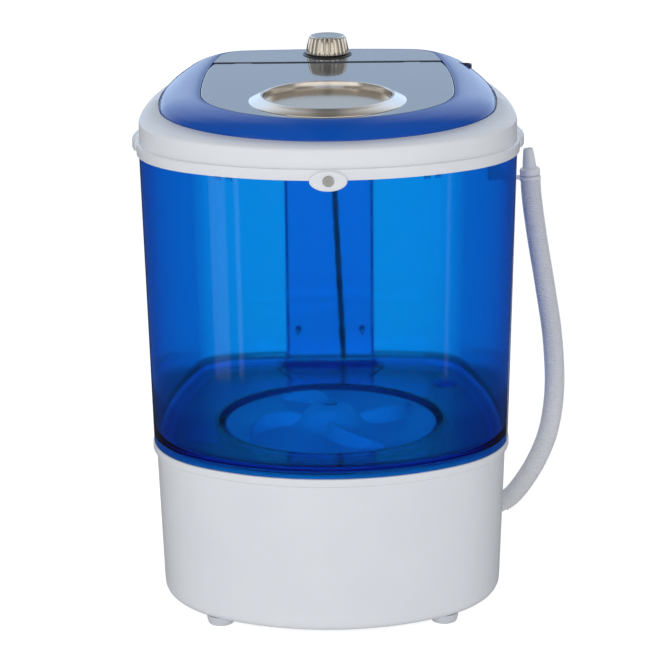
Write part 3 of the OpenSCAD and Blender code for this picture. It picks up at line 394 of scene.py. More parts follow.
mixed = add_node(tree, "MixShader", {0: ray, 1: glass, 2: see_through})
dye = add_node(tree, "VolumeAbsorption", {"Color": (0.0, 0.83, 0.965, 1.0), "Density": 1500.0})
add_node(tree, "OutputMaterial", {"Surface": mixed, "Volume": dye})
print("clear blue plastic ready")

# %% [markdown]
# ### The lid's glossy panel
# The lid and the control panel are moulded over a brushed metallic film: fine streaks run from side
# to side under a clear, mirror-like layer that reflects the knob. A coat over a smooth, partly
# metallic base gives both. The streaks are a noise that is stretched 60 times along x, 0.8 mm wide.

# %% Brushed film under a clear layer
tree, place = start_material("panel_plastic")
stretched = add_node(tree, "Mapping", {"Scale": (20.0, 1200.0, 1200.0), "Vector": place})
streaks = add_node(tree, "TexNoise", {"Scale": 1.0, "Detail": 3.0, "Vector": stretched})
shade = add_node(tree, "Mix",
                 {"data_type": "RGBA", 6: linear("#697380"), 7: linear("#87919E"), 0: streaks})
rough = add_node(tree, "MapRange", {"To Min": 0.06, "To Max": 0.14, "Value": streaks})
film = add_node(tree, "BsdfPrincipled",
                {"Metallic": 0.6, "Coat Weight": 1.0, "Coat Roughness": 0.005, "Coat IOR": 1.5,
                 "Base Color": shade, "Roughness": rough})
add_node(tree, "OutputMaterial", {"Surface": film})
print("panel film ready")

# %% [markdown]
# ### Spun metal of the bezel and the knob
# The bezel, the dish and the knob were polished on a lathe, so their marks are rings round their
# own axis: the distance from it goes into a noise of one dimension. The rings are 0.5 mm wide,
# several times coarser than real ones, to show.

# %% Lathe-turned metal
bezel_y = -55
knob_y = 165


def turned(name, centre_y, colour, dark, roughness, metallic=1.0):
    """Metal with fine rings round the upright axis at x = 0 and centre_y, in millimetres."""
    tree, place = start_material(name)
    centred = add_node(tree, "VectorMath", {"operation": "SUBTRACT", 1: at(0, centre_y), 0: place})
    flat = add_node(tree, "VectorMath", {"operation": "MULTIPLY", 1: (1.0, 1.0, 0.0), 0: centred})
    reach = add_node(tree, "VectorMath", {"operation": "LENGTH", 0: flat})
    rings = add_node(tree, "TexNoise",
                     {"noise_dimensions": "1D", "Scale": 1/(0.5*mm), "Detail": 2.0, "W": reach})
    tint = add_node(tree, "Mix", {"data_type": "RGBA", 6: linear(dark), 7: linear(colour), 0: rings})
    rough = add_node(tree, "MapRange", {"To Min": roughness*0.7, "To Max": roughness*1.3, "Value": rings})
    shader = add_node(tree, "BsdfPrincipled",
                      {"Metallic": metallic, "Base Color": tint, "Roughness": rough})
    add_node(tree, "OutputMaterial", {"Surface": shader})


turned("bezel_metal", bezel_y, "#D6D3CE", "#BEBBB6", 0.15, metallic=0.9)
turned("dish_metal", bezel_y, "#E2D6C4", "#D2C8B8", 0.12, metallic=0.85)
turned("knob_plastic", knob_y, "#CFCCC4", "#B3AFA7", 0.14)
print(len(finishes), "finishes in all")

# %% [markdown]
# ## The drain hose
# The hose is ribbed polyethylene, 20.8 mm across, pushed on the drain spigot at the right rear. It
# bulges out, rises beside the tub and ends in a nozzle that hangs in a holder under the ring. It is
# a cord: a tube of real length on one smooth route. Its ribs are drawn as a straight profile and
# spun round z, and the straight tube is then laid along the route.

# %% The route of the hose
hose_y = 110*mm
hose_r = 10.4*mm
route_points = [(158, 38), (170, 38), (182, 41), (197, 57), (214, 86), (226, 120), (231, 165),
                (228, 218), (220, 270), (211, 322), (205, 362), (203, 384)]


def spline(points, i, t):
    """A point between point i and the next one, on a smooth curve through all of them."""
    last = len(points) - 1
    a, b, c, d = (Vector(points[min(max(k, 0), last)]) for k in (i - 1, i, i + 1, i + 2))
    return 0.5*(2*b + (c - a)*t + (2*a - 5*b + 4*c - d)*t*t + (3*b - a - 3*c + d)*t**3)


route = [spline(route_points, i, k/12)*mm for i in range(len(route_points) - 1) for k in range(12)]
route.append(Vector(route_points[-1])*mm)
runs = [0.0]
for first, second in zip(route, route[1:]):
    runs.append(runs[-1] + (second - first).length)
hose_length = runs[-1]


def hose_at(s):
    """The route's point, in x and z, at a length s from the spigot."""
    s = min(max(s, 0.0), hose_length)
    i = max(k for k in range(len(runs) - 1) if runs[k] <= s)
    return route[i].lerp(route[i + 1], (s - runs[i])/(runs[i + 1] - runs[i]))


def hose_way(s):
    """The route's direction at s, straight over one diameter at both ends."""
    s0, s1 = s - 2*mm, s + 2*mm
    if s < 2*hose_r:
        s0, s1 = 0.0, 2*hose_r
    if s > hose_length - 2*hose_r:
        s0, s1 = hose_length - 2*hose_r, hose_length
    return (hose_at(s1) - hose_at(s0)).normalized()


print("hose length", round(hose_length, 4), "m")

# %% The ribbed tube
ribs = int(hose_length/(2.15*mm))
pitch = hose_length/ribs
bore_r = 8.5*mm
bm = bmesh.new()
vert = bm.verts.new((hose_r - 1.6*mm, 0, 0))
for rib in range(ribs):
    for depth, share in ((1.2, 0.1), (0.15, 0.34), (0, 0.5), (0.15, 0.66), (1.2, 0.9)):
        vert = pull(bm, vert, (hose_r - depth*mm, 0, rib*pitch + share*pitch))
vert = pull(bm, vert, (bore_r, 0, hose_length))
pull(bm, vert, (bore_r, 0, 0), 60)
revolve(bm, bm.edges[:], 24)
bmesh.ops.holes_fill(bm, edges=[e for e in bm.edges if e.is_boundary], sides=0)
outward(bm)
for vert in bm.verts:
    here, way = hose_at(vert.co.z), hose_way(vert.co.z)
    x, y = vert.co.x, vert.co.y
    vert.co = Vector((here.x + way.y*x, hose_y + y, here.y - way.x*x))
hose = piece("ribbed_drain_hose", bm, "hose_plastic", ["drain_hose"], sharp=60, normals=False)

# %% [markdown]
# ## Five arcs round the machine
# Seen from above, the body, the cover and the lid have outlines of one kind: half of each is five
# arcs, for the front, its corner, the side, the rear corner and the rear. Where two arcs meet
# smoothly, both centres lie on one line with the meeting point, which gives the corner centres.
# Every arc drawn in by a distance gives a wall of even thickness. The top of the machine tilts by
# two degrees, so upper loops are lifted.

# %% Outlines
front_y = -176*mm
tilt = radians(2)
# half width, front, back, front arc, front corner, side arc, its centre, rear corner, rear arc
body = [179, 176, 206, 227, 118, 600, -30, 58, 800]
cover = [161, 153, 198, 165, 146, 400, 32, 50, 600]
deck = [121, 132, 192, 125, 112, 900, 25, 30, 900]
arc_steps = (22, 18, 12, 12, 10)


def meet(p, rp, q, rq, side):
    """The meeting point, on one side, of two circles round p and q."""
    d = (q - p).length
    t = (rp*rp - rq*rq + d*d)/(2*d)
    u = (q - p)/d
    return p + u*t + side*Vector((u.y, -u.x))*sqrt(rp*rp - t*t)


def arcs_of(shape):
    """Centre, radius, start and end angle of the five arcs of a half outline, in millimetres."""
    width, front, back, front_r, corner_r, side_r, side_y, rear_r, back_r = shape
    cf, cs, cb = Vector((0, front_r - front)), Vector((width - side_r, side_y)), Vector((0, back - back_r))
    c1 = meet(cf, front_r - corner_r, cs, side_r - corner_r, -1)
    c2 = meet(cb, back_r - rear_r, cs, side_r - rear_r, 1)
    spokes = (c1 - cf, c1 - cs, c2 - cs, c2 - cb)
    turns = [-90] + [degrees(atan2(v.y, v.x)) for v in spokes] + [90]
    circles = ((cf, front_r), (c1, corner_r), (cs, side_r), (c2, rear_r), (cb, back_r))
    return [(c, r, turns[i], turns[i + 1]) for i, (c, r) in enumerate(circles)]


def rise(y):
    """How far the tilted top has risen at y."""
    return tan(tilt)*(y - front_y)


def blend(first, second, share):
    """An outline part of the way between two others."""
    return [a + (b - a)*share for a, b in zip(first, second)]


def ring(bm, shape, inset, height, tilted=False, notch=None):
    """A closed loop of a shape drawn in by inset, all in millimetres.

    A notch, as half width and front face, is a channel pressed into the rear wall from outside.
    A notch without a front face keeps the wall whole, with as many vertices.
    """
    vert = bm.verts.new(at(0, inset - shape[1], height))
    for k, (centre, radius, start, end) in enumerate(arcs_of(shape)):
        stop = end
        if k == 4 and notch:
            stop = degrees(acos(notch[0]/(radius - inset)))
        vert = swing(bm, vert, at(centre.x, centre.y, height), stop - start, arc_steps[k])
        if k == 1:
            anchor = vert
    if notch and notch[1] is None:
        swing(bm, vert, at(centre.x, centre.y, height), end - stop, 10)
    elif notch:
        vert = pull(bm, vert, at(*notch, height), 4)
        pull(bm, vert, at(0, notch[1], height), 6)
    loop = mirror_half(bm, anchor)
    if tilted:
        for point in verts_of(loop):
            point.co.z += rise(point.co.y)
    return loop


def rings(bm, shape, rows, tilted=False, notch=None):
    """A loop for each row of inset and height."""
    return [ring(bm, shape, inset, height, tilted, notch) for inset, height in rows]


def round_ring(bm, centre, radius, height, count):
    """A circle of as many vertices as the loop that it is bridged to, in millimetres."""
    made = bmesh.ops.create_circle(bm, segments=count, radius=radius*mm,
                                   matrix=Matrix.Translation(at(*centre, height)))
    return list({edge for v in made["verts"] for edge in v.link_edges})


def side_x(shape, y):
    """Half width of a shape at y, along its side arc, in millimetres."""
    return shape[0] - shape[5] + sqrt(shape[5]**2 - (y - shape[6])**2)


def rear_y(x, inset=0.0):
    """Rear of the body outline at x, in millimetres."""
    return body[2] - body[8] + sqrt((body[8] - inset)**2 - x*x)


print("corner arcs:", [(round(c.x, 1), round(c.y, 1), r) for c, r, a, b in arcs_of(body)])

# %% [markdown]
# ## The white base
# The base is one moulding: a skirt with a rounded bottom edge, a slight taper and a raised band at
# its rim. It is lofted: each row is an inset and a height on the way round its wall, outside and
# inside. The rim reaches in under the tub's clear floor, where it shows as a white ledge.

# %% Base shell
rim_z = 165
edge_z = 22


def rounded(inset, r, angles):
    """Rows round a bottom edge of radius r whose wall stands at inset."""
    return [(inset + r - r*sin(radians(a)), edge_z - r*cos(radians(a))) for a in angles]


wall = [(37.6, 9)] + rounded(14.6, 13, range(0, 91, 15))
wall += [(10.6, 151), (10.2, 156.0), (8.0, 157.4), (7.3, 157.9), (7.0, 158.8), (7.0, 163.8), (7.3, 164.6),
         (8.1, rim_z), (24, rim_z), (24.6, 164.4), (24, 163.8), (13.8, 163.4), (13.4, 153.5)]
wall += rounded(17.6, 10, range(90, -1, -15)) + [(37.6, 12)]
bm = bmesh.new()
skin(bm, rings(bm, body, wall), closed=True)
base = piece("white_base", bm, "white_plastic", ["base_shell"])

# %% Holes in the base
# Nine ventilation slots at the rear let the motor's air out; the drain and the cable pass through.
tool = bmesh.new()
for i in range(9):
    slot = rod(tool, 1.6, 60, (0, 0, 0), turn="X", segments=16)
    upper_half = [v for v in slot if v.co.z > 0.01*mm]
    bmesh.ops.translate(tool, verts=upper_half, vec=at(0, 0, 44))
    bmesh.ops.translate(tool, verts=slot, vec=at(20 + 9*i, 196, 54))
rod(tool, 11.3, 30, (150, hose_y/mm, 38), turn="Y")
rod(tool, 7.1, 20, (-60, 190.1, 39), turn="X")
cut(base, tool)

# %% Feet
# Each foot is a turned plug of soft rubber with a hollow for its screw.
foot = [(1.9, 4.5), (4.6, 4.5), (5, 4.1), (5, 0.3), (5.3, 0), (10.6, 0), (11.6, 0.3), (12.3, 1.2),
        (13.5, 6.2), (13.5, 9), (1.9, 9)]
bm = bmesh.new()
for x, y in ((107, -108), (-107, -108), (107, 128), (-107, 128)):
    turn_profile(bm, foot, 40, closed=True, x=x, y=y)
piece("rubber_feet", bm, "foot_rubber", ["feet"])

# %% [markdown]
# ## The clear tub
# The tub is one moulding too: an outer wall that narrows downwards, a floor, a round well for the
# pulsator and, at the back, a channel for the wires, pressed in from outside. It is seen through,
# so its mesh is one closed skin with a true 2.5 mm wall. All its loops have as many vertices, with
# or without the channel, so each bridges cleanly to the next.

# %% Tub
ring_z = 446
tub_top = 452.7
tub_wall = 2.5
channel = (43.5, 180.1)
channel_inside = (channel[0] + tub_wall, channel[1] - tub_wall)


def wall_inset(z):
    """Inset of the tapered tub wall at a height, in millimetres."""
    return 2.2 + 5.8*(ring_z - z)/281


bm = bmesh.new()
heights = (tub_top, ring_z, 400, 340, 280, 220, 172, 170.5)
outside = rings(bm, body, [(wall_inset(z), z) for z in heights], notch=channel)
floor_rows = [(wall_inset(170.2), 170.2), (8.0, 165.6), (8.3, 165.3), (9.7, 165.3), (10.0, 165.6),
              (10.2, 172.5), (11.6, 170.9), (14.2, 169.0), (17.5, 168.1), (20.0, 168.0)]
lower = rings(bm, body, floor_rows, notch=(channel[0], None))
count = len(lower[0])
well = [round_ring(bm, (0, 0), r, z, count) for r, z in
        ((114, 168.0), (114, 155.3), (113.2, 154.5), (13.1, 154.5), (13.1, 158), (107.5, 158),
         (109.6, 158.9), (110.5, 161), (110.5, 170))]
inner = []
for d, z in ((11, 170), (7, 170.6), (3.6, 172.4), (1.2, 175.6), (0.2, 180), (0, 183)):
    notch = (channel_inside[0] + d, channel_inside[1] - d)
    inner.append(ring(bm, body, wall_inset(170) + tub_wall + d, z, notch=notch))
heights = (220, 280, 340, 400, ring_z, tub_top)
inner += rings(bm, body, [(wall_inset(z) + tub_wall, z) for z in heights], notch=channel_inside)
skin(bm, outside + lower + well + inner, closed=True)
piece("clear_tub", bm, "clear_blue", ["tub"], sharp=28)

# %% [markdown]
# ## Behind the tub
# A strip of the same clear blue closes the wire channel, and a bundle of wires slants up through
# it. Three layers of blue lie behind each other there, so the channel looks darker than the tub
# beside it. The strip is the rear arc swept at four heights, bridged and thickened. The bundle is
# four wires twisted round each other: the spin operator with a rise in each step makes a screw.

# %% Rear cover
strip_half = channel[0] - 0.3
bm = bmesh.new()
rows = []
for z in (170.8, 265, 360, tub_top):
    inset = wall_inset(z)
    half_angle = degrees(asin(strip_half/(body[8] - inset)))
    vert = bm.verts.new(at(strip_half, rear_y(strip_half, inset), z))
    swing(bm, vert, at(0, body[2] - body[8], z), 2*half_angle, 12)
    rows.append(joined(vert)[1])
skin(bm, rows, stack=False)
outward(bm)
if sum(face.normal.y for face in bm.faces) < 0:
    bmesh.ops.reverse_faces(bm, faces=bm.faces[:])
bmesh.ops.solidify(bm, geom=bm.faces[:], thickness=tub_wall*mm)
piece("rear_strip", bm, "clear_blue", ["rear_cover"])

# %% Wire bundle
bm = bmesh.new()
low, high = Vector((14, 183.9, 174))*mm, Vector((2, 183.9, 448))*mm
run = (high - low).length
for k in range(4):
    turn = Matrix.Rotation(k*pi/2, 4, "Z")
    made = bmesh.ops.create_circle(bm, cap_ends=True, segments=10, radius=1.35*mm,
                                   matrix=turn @ Matrix.Translation(at(1.85, 0)))
    bmesh.ops.spin(bm, geom=made["verts"][0].link_faces[:], cent=(0, 0, 0), axis=up,
                   angle=radians(900), steps=90, dvec=(0, 0, run/90), use_duplicate=False)
for share in (0.12, 0.4, 0.68, 0.93):
    rod(bm, 3.65, 4, (0, 0, run/mm*share), segments=20)
slant = (high - low).to_track_quat("Z", "Y").to_matrix().to_4x4()
bmesh.ops.transform(bm, matrix=Matrix.Translation(low) @ slant, verts=bm.verts[:])
piece("wire_bundle", bm, "black_plastic", ["wiring_loom"])

# %% [markdown]
# ## The white ring
# The ring closes the tub. Its level lower band overhangs the tub, a step sets the upper wall back,
# and a rounded, tilted shoulder climbs to the cover. On it sit an oval boss with a screw at the
# front, a grip on each side and four snap hooks inside the tub.

# %% Ring
band = [(2, ring_z), (0.3, ring_z), (0, ring_z + 0.4), (0, 455.0), (0.2, 455.7), (0.9, 456.1),
        (2.5, 456.3), (2.8, 456.8)]
shoulder = [(2.8 + 3.4 - 3.4*cos(radians(a)), 470.6 + 3.4*sin(radians(a)))
            for a in (0, 15, 30, 45, 60, 72)]
bm = bmesh.new()
loops = rings(bm, body, band) + rings(bm, body, shoulder, True)
loops += rings(bm, cover, ((-1.4, 476.0), (-1.0, 475.8), (-1, 473), (7, 473), (7, 470.6)), True)
loops += rings(bm, body, ((7.4, 470.4), (5.8, 468)), True)
loops += rings(bm, body, ((5.8, 452.9), (2, 452.9)))
skin(bm, loops, closed=True)

# %% Oval boss
# The boss is an oval pad, drawn in at its front edge and sunk for the screw head. Circles of one
# metre are scaled to its half width and half height, and the stack is tipped to the front.
oval_loops = []
before = set(bm.verts)
for y, half_w, half_h in ((-173, 17, 9.5), (-177.4, 17, 9.5), (-178.1, 16.6, 9.1), (-178.6, 15.8, 8.3),
                          (-178.8, 14.6, 7.2), (-178.8, 5.3, 5.3), (-178.6, 5, 5), (-176.9, 5, 5),
                          (-176.9, 2.2, 2.2), (-173, 2.2, 2.2)):
    loop = round_ring(bm, (0, 0), 1000, -y, 48)
    bmesh.ops.scale(bm, vec=(half_w*mm, half_h*mm, 1), verts=verts_of(loop))
    oval_loops.append(loop)
skin(bm, oval_loops, closed=True)
boss = [v for v in bm.verts if v not in before]
bmesh.ops.rotate(bm, matrix=Matrix.Rotation(pi/2, 3, "X"), verts=boss)
bmesh.ops.translate(bm, vec=at(0, 0, ring_z), verts=boss)

# %% Side grips
# A grip is a lip that swells out of the lower band and runs back into it at both ends.
grip_start, grip_run, grip_steps = -20, 70, 18
for side in (1, -1):
    sections = []
    for k in range(grip_steps + 1):
        y = grip_start + grip_run*k/grip_steps
        share = min(max(k/grip_steps, 0.02), 0.98)
        out = 9*sin(pi*share)**0.35
        root = side_x(body, y)
        vert = first = bm.verts.new(at(side*(root - 1.4), y, 442))
        for x, z in ((out - 2, 442), (out - 0.6, 442.6), (out, 444), (out, 451), (out - 0.8, 452.8),
                     (out*0.6, 455.2), (out*0.3, 457), (-1.4, 458)):
            vert = pull(bm, vert, at(side*(root + x), y, z))
        bm.edges.new((vert, first))
        sections.append(joined(first)[1])
    skin(bm, sections, stack=False)
    bmesh.ops.holes_fill(bm, edges=sections[0] + sections[-1], sides=0)

# %% Snap hooks
# Each hook stands square to the ring's wall, whose arc at that place gives its turn.
hook_inset = 4.9
front_arc, corner_arc = arcs_of(body)[:2]
for x in (-98, -88, 88, 98):
    centre, radius = front_arc[0], front_arc[1] - hook_inset
    if abs(x) > centre.x + radius*sin(radians(front_arc[3] + 90)):
        centre, radius = corner_arc[0], corner_arc[1] - hook_inset
    y = centre.y - sqrt(radius**2 - (abs(x) - centre.x)**2)
    slope = atan2(abs(x) - centre.x, centre.y - y)*(1 if x > 0 else -1)
    hook = block(bm, (-3, -0.8, -5.75), (3, 0.8, 5.75))
    bmesh.ops.rotate(bm, matrix=Matrix.Rotation(slope, 3, "Z"), verts=hook)
    bmesh.ops.translate(bm, vec=at(x, y + 0.95, 447.75), verts=hook)
piece("white_ring", bm, "white_plastic", ["top_ring"], sharp=40)

# %% [markdown]
# ## The blue cover
# The cover rises steeply from the ring and flattens towards the deck, the opening that the lid and
# the control panel lie in. Each loop on its slope is a blend of the outlines of its foot and its
# brow, along a smooth curve through a few shares across and up.

# %% Deck plane and slope
deck_z = 491.5
foot_z = 476.2
deck_plane = (Matrix.Translation((0, front_y, deck_z*mm)) @ Matrix.Rotation(tilt, 4, "X")
              @ Matrix.Translation((0, -front_y, 0)))
slope_points = [(0, 0), (0.04, 0.16), (0.14, 0.38), (0.38, 0.66), (0.66, 0.86), (0.88, 0.975), (1, 1)]
slope = [spline(slope_points, i, k/4) for i in range(len(slope_points) - 1) for k in range(4)]


def on_deck(bm, x=0, y=0):
    """Puts what was drawn level on the tilted deck."""
    bmesh.ops.transform(bm, matrix=deck_plane @ Matrix.Translation(at(x, y)), verts=bm.verts[:])


bm = bmesh.new()
loops = rings(bm, cover, [(0, 473.2)], True)
for share in slope:
    loops.append(ring(bm, blend(cover, deck, share.x), 0, foot_z + (deck_z - foot_z)*share.y, True))
edge = ((0.0, 0.0), (0.3, -0.3), (0.4, -0.8), (0.4, -5), (11, -5), (11, -7.5))
loops += rings(bm, deck, [(inset, deck_z + z) for inset, z in edge], True)
for share, height in ((0.75, 484.0), (0.25, 480.8)):
    loops.append(ring(bm, blend(cover, deck, share), 3 - 2*share, height, True))
loops += rings(bm, cover, [(3, 475.2), (3, 473.2)], True)
skin(bm, loops, closed=True)
cover_piece = piece("blue_cover", bm, "blue_plastic", ["top_cover"], sharp=40)

# %% Hole for the water inlet
inlet = (138, 132)
inlet_z = 463.76
tool = bmesh.new()
rod(tool, 6.4, 60, (*inlet, 490))
cut(cover_piece, tool)

# %% Hinge bar and clevises
# The bar behind the lid carries two pairs of lugs for the hinge pins. Both are hidden when it is shut.
hinge_x, hinge_y, hinge_z = 84, 122.4, -3.9
knuckle_r = 3.3
bar_front, bar_back = 115.9, 130.8
half = side_x(deck, hinge_y) - 9
bm = bmesh.new()
block(bm, (-half, bar_front, -9.6), (half, bar_back, -7.8))
for s in (-1, 1):
    block(bm, (s*(half - 3) - 3, bar_front, -8.8), (s*(half - 3) + 3, bar_back, -5.4))
    for t in (-1, 1):
        x = s*hinge_x + t*10.3
        rod(bm, knuckle_r, 4, (x, hinge_y, hinge_z), turn="Y", segments=24)
        block(bm, (x - 2, hinge_y - knuckle_r, hinge_z - 4.8), (x + 2, hinge_y + knuckle_r, hinge_z))
on_deck(bm)
# The bar is drawn black as painted shade: it belongs to the blue cover, and its black darkens the gap
# between the lid and the panel like a shadow.
piece("hinge_bar", bm, "black_plastic", sharp=40)

# %% [markdown]
# ## Lid and control panel
# Both are 3.5 mm plates cut from the deck's outline with a gap of 1.2 mm round them. The lid ends
# in a straight edge in front of its hinge, and its rear corners draw in so that they clear the
# cover as it swings. Each outline is filled flat, extruded down and bevelled finely, because it is
# that thin bright edge that the eye reads as the plate's thickness.

# %% Plates
plate_thickness = 3.5
plate_edge = 0.45
plate_gap = 1.2
lid_back = 118.8
panel_front = 127.8


def plate(bm, loops):
    """Fills outlines to a flat plate, extrudes it down and rounds its upper edges."""
    made = bmesh.ops.triangle_fill(bm, edges=[e for loop in loops for e in loop], use_beauty=True)
    faces = [part for part in made["geom"] if isinstance(part, bmesh.types.BMFace)]
    bmesh.ops.recalc_face_normals(bm, faces=faces)
    grown = bmesh.ops.extrude_face_region(bm, geom=faces, use_keep_orig=True)
    verts = [part for part in grown["geom"] if isinstance(part, bmesh.types.BMVert)]
    bmesh.ops.translate(bm, vec=at(0, 0, -plate_thickness), verts=verts)
    outward(bm)
    rim = [e for e in bm.edges if len(e.link_faces) == 2 and e.calc_face_angle(0) > 1.2
           and min(v.co.z for v in e.verts) > -0.1*mm]
    bmesh.ops.bevel(bm, geom=rim, offset=plate_edge*mm, offset_type="OFFSET", affect="EDGES", segments=2,
                    profile=0.5, material=-1)


def lid_outline(bm, gap, back):
    """The deck's outline in front of the hinge, with drawn-in rear corners."""
    shoulder = side_x(deck, back - 30) - gap
    corner = side_x(deck, panel_front) - gap - 0.4
    vert = bm.verts.new(at(0, gap - deck[1]))
    for k, (centre, radius, start, end) in enumerate(arcs_of(deck)[:3]):
        if k == 2:
            end = degrees(asin((back - 30 - centre.y)/(radius - gap)))
        vert = swing(bm, vert, at(centre.x, centre.y), end - start, (28, 22, 10)[k])
        if k == 0:
            anchor = vert
    for x, y, steps in (((shoulder + corner)/2 + 0.15, back - 14, 3), (corner + 0.1, back - 2.2, 2),
                        (corner - 0.7, back - 0.6, 1), (corner - 2.3, back, 1), (0, back, 6)):
        vert = pull(bm, vert, at(x, y), steps)
    return mirror_half(bm, anchor)


bm = bmesh.new()
plate(bm, [lid_outline(bm, plate_gap, lid_back), round_ring(bm, (0, bezel_y), 60.15, 0, 96)])

# %% Lid hinge and skirt
# Two knuckles carry the lid on its pins, and a skirt under the plate stiffens it.
for s in (-1, 1):
    rod(bm, knuckle_r, 16, (s*hinge_x, hinge_y, hinge_z), turn="Y", segments=24)
    block(bm, (s*hinge_x - 8, hinge_y - 6.3, -3.5), (s*hinge_x + 8, hinge_y, -0.4))
skirt = [lid_outline(bm, gap, 112 - gap) for gap in (13, 13, 15, 15)]
for loop, z in zip(skirt, (-3, -8.3, -8.3, -3)):
    bmesh.ops.translate(bm, vec=at(0, 0, z), verts=verts_of(loop))
skin(bm, skirt, closed=True)
on_deck(bm)
piece("lid_plate", bm, "panel_plastic", ["lid_panel"], "lid", sharp=12)

# %% Control panel
bm = bmesh.new()
side_arc, *rear_arcs = arcs_of(deck)[2:]
centre, radius, start, end = side_arc
begin = degrees(asin((panel_front - centre.y)/(radius - plate_gap)))
first_x = centre.x + (radius - plate_gap)*cos(radians(begin))
vert = bm.verts.new(at(0, panel_front))
vert = pull(bm, vert, at(first_x - 1.0, panel_front), 6)
anchor = pull(bm, vert, at(first_x, panel_front + 0.6))
vert = swing(bm, anchor, at(centre.x, centre.y), end - begin - 0.04, 6)
for (centre, radius, start, end), steps in zip(rear_arcs, (14, 12)):
    vert = swing(bm, vert, at(centre.x, centre.y), end - start, steps)
vert.co.x = 0
plate(bm, [mirror_half(bm, anchor), round_ring(bm, (0, knob_y), 4.5, 0, 32)])
on_deck(bm)
piece("rear_panel", bm, "panel_plastic", ["control_panel"], sharp=12)

# %% [markdown]
# ## Turned pieces
# The bezel, the dish, the knob and its ring, the nozzle and the inlet are all round: profiles that
# are spun once round z. The knob's 24 flutes are then pressed in, by moving the vertices near the
# middle of each towards the axis.

# %% Bezel and dish
bm = bmesh.new()
turn_profile(bm, [(73, 0.05), (72.9, 0.5), (72.5, 0.8), (67, 3.4), (63.0, 5.35), (62.4, 5.75), (61.8, 5.9),
                  (60.8, 5.9), (60.2, 5.6), (59.8, 4.6), (59.7, -3), (58.5, -3), (58.5, -4), (60, -4),
                  (60, 0.05)], 128, closed=True)
on_deck(bm, 0, bezel_y)
piece("bezel", bm, "bezel_metal", ["lid_bezel"], "lid", sharp=35)
bm = bmesh.new()
turn_profile(bm, [(0, -2.6), (15, -2.56), (30, -2.4), (40, -2.0), (48, -1.6), (55, -1.3), (59.4, -1.2),
                  (59.4, -2.8), (48, -3.2), (30, -4.1), (0, -4.3)], 96)
on_deck(bm, 0, bezel_y)
piece("dish", bm, "bezel_metal", ["lid_dish"], "lid", sharp=35, finish="dish_metal")

# %% Knob and its ring
flutes = 24
flute_depth = 1.2
bm = bmesh.new()
turn_profile(bm, [(0, 9), (3, 9), (3, 0), (20.9, 0), (21.5, 0.3), (21.8, 1.0), (21.5, 3), (21.0, 6),
                  (20.3, 9.5), (19.4, 13), (18.6, 15.6), (18.1, 16.8), (17.4, 17.6), (16.4, 18.0),
                  (15.2, 18.15), (14.6, 17.9), (8, 17.75), (0, 17.7)], 10*flutes)
for vert in bm.verts:
    (radius, bearing), z = polar(vert), vert.co.z/mm
    if radius > 17 and 0.8 < z < 17.2:
        depth = flute_depth*min(1, (z - 0.8)/2)*min(1, (17.4 - z)/1.2)
        press = sin(pi*min(max((bearing % (360/flutes) - 3.5)/6.5, 0), 1))
        vert.co.xy *= 1 - depth*press/radius
# The pointer, on the top towards the front
block(bm, (-0.6, -16.2, 17.7), (0.6, -8.2, 18.2))
bmesh.ops.translate(bm, vec=at(0, 0, 1.4), verts=bm.verts[:])
on_deck(bm, 0, knob_y)
piece("fluted_knob", bm, "knob_plastic", ["timer_knob"], "knob", sharp=40)
bm = bmesh.new()
turn_profile(bm, [(4.5, 0.02), (25, 0.02), (24.9, 0.5), (24.4, 0.9), (22.8, 1.1), (21.4, 0.9), (20.8, 0.7),
                  (4.5, 0.7)], 72, closed=True)
on_deck(bm, 0, knob_y)
piece("knob_collar", bm, "black_plastic", ["knob_ring"], sharp=35)

# %% Water inlet
bm = bmesh.new()
turn_profile(bm, [(4.5, 0), (6.5, 0), (6.5, 5.8), (9, 6), (9, 8), (6.5, 8.2), (6.5, 33.4), (6.2, 33.9),
                  (5.7, 34), (4.9, 33.8), (4.5, 33.2)], 40, closed=True)
bmesh.ops.translate(bm, vec=at(*inlet, inlet_z), verts=bm.verts[:])
piece("inlet_tube", bm, "navy_plastic", ["water_inlet"])

# %% Drain nozzle
bm = bmesh.new()
turn_profile(bm, [(5.6, -14), (8.2, -14), (8.2, 0), (8.6, 0), (8.6, 3.9), (9.9, 4.6), (10.2, 5.0),
                  (10.2, 10.2), (10.0, 10.7), (9.4, 11.3), (7.4, 11.8), (7.0, 12.4), (6.2, 20), (4.9, 30.8),
                  (4.4, 31.5), (3.7, 31.6), (3.2, 31.2), (3.2, 11), (5.6, 11)], 48, closed=True)
way = hose_way(hose_length)
lean = Matrix.Rotation(atan2(way.x, way.y), 4, "Y")
end = Vector((route[-1].x, hose_y, route[-1].y))
bmesh.ops.transform(bm, matrix=Matrix.Translation(end) @ lean, verts=bm.verts[:])
piece("hose_nozzle", bm, "white_plastic", ["drain_nozzle"])

# %% [markdown]
# ## The pulsator
# The pulsator is a moulded disc in the well of the tub, with a raised rim, a domed hub and four
# swept vanes that throw the water round. It is spun as a plain dished disc. Vertices near a curve
# that bends back as it runs out are then raised to a ridge, most at its middle.

